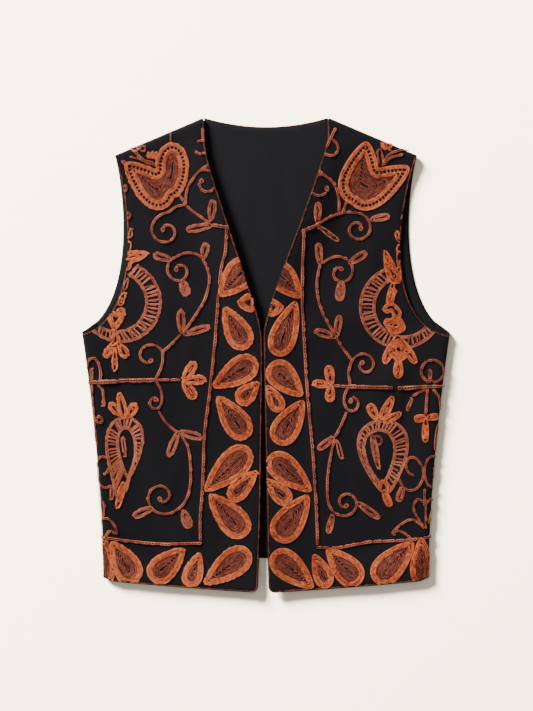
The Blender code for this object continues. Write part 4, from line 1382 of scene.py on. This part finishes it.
def stitch_tree(finish):
    """Geometry Nodes that lay chain stitches along every path."""
    tree = bpy.data.node_groups.new("Chain stitch", "GeometryNodeTree")
    for label, kind in TREE_INPUTS:
        tree.interface.new_socket(label, in_out="INPUT", socket_type="NodeSocket" + kind)
    tree.interface.new_socket("Stitches", in_out="OUTPUT", socket_type="NodeSocketGeometry")

    def node(kind, settings=None, output=0, **inputs):
        """A new node's output; an input is named, or is an underscore and its number."""
        made = tree.nodes.new(kind)
        for key, value in (settings or {}).items():
            setattr(made, key, value)
        for key, value in inputs.items():
            socket = made.inputs[int(key[1:])] if key[0] == "_" else made.inputs[key.replace("_", " ")]
            if isinstance(value, bpy.types.NodeSocket):
                tree.links.new(value, socket)
            else:
                socket.default_value = value
        return made.outputs[output] if made.outputs else made

    def attribute(name, kind="FLOAT"):
        return node("GeometryNodeInputNamedAttribute", {"data_type": kind}, "Attribute", Name=name)

    def times(first, second):
        return node("ShaderNodeMath", {"operation": "MULTIPLY"}, _0=first, _1=second)

    def chance(low, high):
        return node("FunctionNodeRandomValue", {"data_type": "FLOAT"}, 1, _2=low, _3=high, Seed=given["Seed"])

    given = tree.nodes.new("NodeGroupInput").outputs
    curves = node("GeometryNodeMeshToCurve", Mesh=given["Paths"])
    step = times(given["Stitch length"], attribute("long"))
    divided = node("GeometryNodeResampleCurve", {"mode": "LENGTH"}, Curve=curves, Length=step)
    facing = node(
        "FunctionNodeAxesToRotation",
        {"primary_axis": "Z", "secondary_axis": "X"},
        Primary_Axis=attribute("up", "FLOAT_VECTOR"),
        Secondary_Axis=node("GeometryNodeInputTangent"),
    )
    sway = chance(times(given["Unevenness"], -1.0), given["Unevenness"])
    swayed = node("ShaderNodeCombineXYZ", Z=sway)
    local = {"rotation_space": "LOCAL"}
    turned = node("FunctionNodeRotateRotation", local, Rotation=facing, Rotate_By=swayed)
    width = times(given["Stitch width"], attribute("wide"))
    stretch = node("ShaderNodeCombineXYZ", X=step, Y=width, Z=width)
    size = chance(1 - SIZE_JITTER, 1 + SIZE_JITTER)
    scale = node("ShaderNodeVectorMath", {"operation": "SCALE"}, _0=stretch, Scale=size)
    link = node("GeometryNodeObjectInfo", None, "Geometry", Object=given["Link"])
    laid = node("GeometryNodeInstanceOnPoints", Points=divided, Instance=link, Rotation=turned, Scale=scale)
    kept = node(
        "GeometryNodeStoreNamedAttribute",
        {"data_type": "FLOAT", "domain": "INSTANCE"},
        Geometry=laid,
        Name="each",
        Value=chance(0.0, 1.0),
    )
    real = node("GeometryNodeRealizeInstances", Geometry=kept)
    covered = node("GeometryNodeSetMaterial", Geometry=real, Material=finish)
    node("NodeGroupOutput", Stitches=covered)
    return tree


def sew(piece, tree, link, seed):
    """Runs the stitch tree on the piece and leaves a plain mesh."""
    modifier = piece.modifiers.new("Chain stitch", "NODES")
    modifier.node_group = tree
    values = {"Link": link, "Stitch length": 1.0, "Stitch width": 1.0, "Unevenness": UNEVENNESS, "Seed": seed}
    for socket in tree.interface.items_tree:
        if socket.name in values:
            modifier[socket.identifier] = values[socket.name]
    bpy.context.view_layer.update()
    evaluated = piece.evaluated_get(bpy.context.evaluated_depsgraph_get())
    mesh = bpy.data.meshes.new_from_object(evaluated)
    piece.modifiers.remove(modifier)
    piece.data = mesh
    mesh.name = piece.name
    print(piece.name, "triangles:", sum(len(face.vertices) - 2 for face in mesh.polygons))
    return piece


# %% [markdown]
# Materials are written as sums and products of sockets. A small class holds a socket and gives it
# plus, minus and times, so that each finish reads as one short formula.

# %% Writing materials as formulas
class Wire:
    """A socket in a material that can be used in a formula."""

    def __init__(self, finish, socket):
        self.finish = finish
        self.socket = socket

    def _math(self, operation, first, second):
        return self.finish.node("ShaderNodeMath", {"operation": operation}, {0: first, 1: second})

    def __add__(self, other):
        return self._math("ADD", self, other)

    def __sub__(self, other):
        return self._math("SUBTRACT", self, other)

    def __rsub__(self, other):
        return self._math("SUBTRACT", other, self)

    def __mul__(self, other):
        return self._math("MULTIPLY", self, other)

    __radd__ = __add__
    __rmul__ = __mul__

    def sine(self):
        return self._math("SINE", self, 0.0)


class Finish:
    """A material being made, with one method for all its nodes."""

    def __init__(self, name):
        self.material = bpy.data.materials.new(name)
        self.material.use_nodes = True
        self.tree = self.material.node_tree
        self.shader = self.tree.nodes["Principled BSDF"]

    def node(self, kind, settings=None, inputs=None, output=0):
        made = self.tree.nodes.new(kind)
        for key, value in (settings or {}).items():
            if key == "stops":
                while len(made.color_ramp.elements) < len(value):
                    made.color_ramp.elements.new(0.5)
                for element, (place, colour) in zip(made.color_ramp.elements, value):
                    element.position = place
                    element.color = (*colour, 1.0)
            else:
                setattr(made, key, value)
        for key, value in (inputs or {}).items():
            self.join(made.inputs[key], value)
        return Wire(self, made.outputs[output])

    def join(self, socket, value):
        if isinstance(value, Wire):
            self.tree.links.new(value.socket, socket)
        else:
            socket.default_value = value

    def set(self, **values):
        for key, value in values.items():
            self.join(self.shader.inputs[key.replace("_", " ")], value)

    def place(self):
        return self.node("ShaderNodeTexCoord", output="Object")

    def axis(self, where, name):
        return self.node("ShaderNodeSeparateXYZ", None, {0: where}, name)

    def attribute(self, name):
        return self.node("ShaderNodeAttribute", {"attribute_name": name}, output="Fac")

    def noise(self, scale, detail=2.0, where=None):
        inputs = {"Scale": scale, "Detail": detail, "Vector": where or self.place()}
        return self.node("ShaderNodeTexNoise", None, inputs)

    def mix(self, share, dark, light):
        inputs = {0: share, 6: (*dark, 1.0), 7: (*light, 1.0)}
        return self.node("ShaderNodeMix", {"data_type": "RGBA"}, inputs, output=2)

    def bump(self, height, strength, distance):
        inputs = {"Height": height, "Strength": strength, "Distance": distance}
        return self.node("ShaderNodeBump", None, inputs)


# %% [markdown]
# The fronts are plain black cotton: matt, tightly woven, with a little lint and faint broad tone.
# The weave is finer than a millimetre, so it is bump, crossing in both directions.

# %% Black cotton
WEAVE = 2 * math.pi / 0.0009
COTTON = (0.0024, 0.0020, 0.0028), (0.0060, 0.0051, 0.0066)


def cotton():
    finish = Finish("black cotton")
    where = finish.place()
    weave = (finish.axis(where, "X") * WEAVE).sine() * (finish.axis(where, "Y") * WEAVE).sine()
    lint = finish.noise(900.0, 3.0)
    broad = finish.noise(9.0, 3.0)
    share = (lint - 0.35) * 0.7 + (broad - 0.5) * 0.6
    finish.set(Base_Color=finish.mix(share, *COTTON), Roughness=0.82 + 0.1 * lint, Specular_IOR_Level=0.08)
    finish.set(Normal=finish.bump(weave * 0.5 + lint, 0.35, 0.00025))
    return finish.material


# %% [markdown]
# The lining is smoother and a little lighter than the cotton, with a faint sheen and soft upright streaks. In
# its colour the streaks are painted shading of gentle folds, and they also vary its roughness and bump.

# %% Grey lining
LINING = (0.0034, 0.0033, 0.0040), (0.0070, 0.0067, 0.0078)
STREAKS = (60.0, 7.0, 1.0)  # streaks a metre across, along and through the cloth


def lining_cloth():
    finish = Finish("grey lining")
    stretched = finish.node("ShaderNodeMapping", None, {"Vector": finish.place(), "Scale": STREAKS})
    streaks_and_painted_shade = finish.noise(1.0, 3.0, stretched)
    fine = finish.noise(1400.0)
    # In the colour the streaks are painted shading of gentle folds. In the roughness and bump they are the
    # cloth's own unevenness.
    colour = finish.mix(0.5 * streaks_and_painted_shade + 0.5 * fine, *LINING)
    finish.set(Base_Color=colour, Roughness=0.62 + 0.1 * streaks_and_painted_shade, Specular_IOR_Level=0.05)
    finish.set(Normal=finish.bump(fine + streaks_and_painted_shade, 0.25, 0.0003))
    return finish.material


# %% [markdown]
# Wool yarn is never one colour. Each stitch has its own shade, and the dye drifts slowly over the garment.
# A motif's outermost row is painted lighter, a painted highlight. The twist shows as fine slanting ridges
# along the strand.

# %% Wool yarns
TWISTS = 7.0
MIDDLE_STOP = 0.45
# thread, name of its wool, deep shade, middle shade, bright shade
WOOLS = (
    (ORANGE, "orange wool", (0.140, 0.023, 0.009), (0.330, 0.065, 0.021), (0.530, 0.150, 0.060)),
    (CHAIN, "brown wool", (0.064, 0.014, 0.009), (0.200, 0.047, 0.025), (0.385, 0.122, 0.067)),
    (RUST, "rust wool", (0.066, 0.013, 0.010), (0.168, 0.036, 0.021), (0.335, 0.099, 0.057)),
)


def yarn(name, deep, middle, bright):
    """A twisted wool yarn between three shades, a little darker towards the wearer's left."""
    finish = Finish(name)
    drift = finish.noise(22.0, 3.0)
    fleck = finish.noise(1500.0)
    side = finish.axis(finish.place(), "X")
    # The tone attribute carries each row's tint, including the painted highlight on a motif's outermost row.
    shade = finish.attribute("tone") * 0.42 + finish.attribute("each") * 0.45
    shade = shade + (drift - 0.5) * 0.9 + (fleck - 0.5) * 0.5 - side * 0.3 + 0.03
    stops = (0.0, deep), (MIDDLE_STOP, middle), (1.0, bright)
    colour = finish.node("ShaderNodeValToRGB", {"stops": stops}, {"Fac": shade})
    along = finish.node("ShaderNodeUVMap", {"uv_map": "yarn"})
    twist = ((finish.axis(along, "X") * TWISTS + finish.axis(along, "Y")) * (2 * math.pi)).sine()
    finish.set(Base_Color=colour, Roughness=0.8 + 0.1 * fleck, Specular_IOR_Level=0.1)
    finish.set(Normal=finish.bump(twist + fleck * 0.8, 0.5, 0.00018))
    return finish.material


wools = {thread: yarn(*shades) for thread, *shades in WOOLS}
print("wools:", sorted(wools))

# %% Sew the embroidery
FIRST_SEED = 3
threads = []


def sew_lines(name, put, paths, thread, seed):
    """Stitches of one thread along these paths, as a new piece."""
    threads.append(sew(path_object(name, put, paths), stitch_tree(wools[thread]), links[thread], seed))


for seed, front in enumerate((RIGHT, LEFT), FIRST_SEED):
    for thread in (ORANGE, RUST, CHAIN):
        paths = [path for path in works[front.name].paths if path[1] == thread]
        sew_lines("embroidery_%s_%s" % (front.name, thread), on_front(front), paths, thread, seed)
neck_path = (neck_line(), CHAIN, NECK_STITCH, NECK_TINT)
sew_lines("trim_back_neck", on_back, [neck_path], CHAIN, len(threads))
for thread in (ORANGE, CHAIN):
    bpy.data.objects.remove(links[thread])

# %% Dress the cloth, hang each piece from the root and hide the solid it replaces
cotton_cloth = cotton()
# node, finish, slot, what it rests on
CLOTHS = (
    ("front_right", cotton_cloth, "cloth", ["back_lining"]),
    ("front_left", cotton_cloth, "cloth", ["back_lining"]),
    ("back", cotton_cloth, "cloth", []),
    ("back_lining", lining_cloth(), "lining", ["back"]),
)
for node_name, finish, slot, rests_on in CLOTHS:
    piece = cloths[node_name]
    piece.data.materials.append(finish)
    loop = as_array(outlines[node_name])
    width, length = (float(side) for side in (loop.max(axis=0) - loop.min(axis=0)) * METRES)
    area = float(abs(signed_area(loop)) * METRES**2)
    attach(piece, "root")
    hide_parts(node_name)
    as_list(rests_on)
    print(node_name, "cut: %.3f x %.3f m, %.4f square metres" % (width, length, area))
for piece in threads:
    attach(piece, "root")

# %% [markdown]
# The gilet lies on a pale warm surface, seen from straight above through a long lens.
# A large soft lamp at the upper left gives the narrow shadow at the right and below.
# A second lamp at the same place lights the surface alone, which keeps it nearly white
# while the cloth stays black.

# %% Surface, light and camera
PHOTO_WIDTH, PHOTO_HEIGHT = 533, 711
PIXEL = 1.36 * METRES
VIEW_X, VIEW_Y = 266.0, 355.0
CAMERA_HEIGHT = 2.4
SENSOR = 36.0
SURFACE_HALF = 4.0
SURFACE = (0.950, 0.855, 0.700), (0.960, 0.865, 0.710)
LAMP_PLACE = Vector((-4.75, 4.82, 2.95))
LAMP_SIZE = 2.2
KEY_WATTS, KEY_COLOUR = 3350.0, (1.0, 0.985, 0.965)
SURFACE_WATTS, SURFACE_COLOUR = 6000.0, (1.0, 0.885, 0.740)
SKY_COLOUR, SKY_STRENGTH = (1.0, 0.99, 0.975, 1.0), 0.56


def make_surface():
    corners = [(x * SURFACE_HALF, y * SURFACE_HALF, 0.0) for x, y in ((-1, -1), (1, -1), (1, 1), (-1, 1))]
    mesh = plain_mesh("surface", corners, [], [(0, 1, 2, 3)])
    finish = Finish("pale surface")
    finish.set(Base_Color=finish.mix(finish.noise(3.0, 3.0), *SURFACE), Roughness=0.9, Specular_IOR_Level=0.1)
    mesh.materials.append(finish.material)
    piece = place_in_scene("surface", mesh)
    return piece


def area_light(name, watts, colour, only=None):
    """A large soft lamp at the upper left, which may light one object only."""
    data = bpy.data.lights.new(name, "AREA")
    data.energy = watts
    data.size = LAMP_SIZE
    data.color = colour
    lamp = place_in_scene(name, data)
    lamp.location = LAMP_PLACE
    lamp.rotation_euler = (-LAMP_PLACE).to_track_quat("-Z", "Y").to_euler()
    if only:
        receivers = bpy.data.collections.new(name)
        receivers.objects.link(only)
        lamp.light_linking.receiver_collection = receivers


def make_camera():
    """A camera that looks straight down and sees what the photo shows."""
    data = bpy.data.cameras.new("camera")
    data.sensor_width = SENSOR
    data.lens = SENSOR * CAMERA_HEIGHT / (PHOTO_HEIGHT * PIXEL)
    camera = place_in_scene("camera", data)
    camera.location = ((PHOTO_WIDTH / 2 - VIEW_X) * PIXEL, (VIEW_Y - PHOTO_HEIGHT / 2) * PIXEL, CAMERA_HEIGHT)
    bpy.context.scene.camera = camera


surface = make_surface()
make_camera()
area_light("key", KEY_WATTS, KEY_COLOUR)
area_light("surface light", SURFACE_WATTS, SURFACE_COLOUR, only=surface)
world = bpy.data.worlds.new("studio")
world.use_nodes = True
sky = world.node_tree.nodes["Background"].inputs
sky["Color"].default_value = SKY_COLOUR
sky["Strength"].default_value = SKY_STRENGTH
bpy.context.scene.world = world
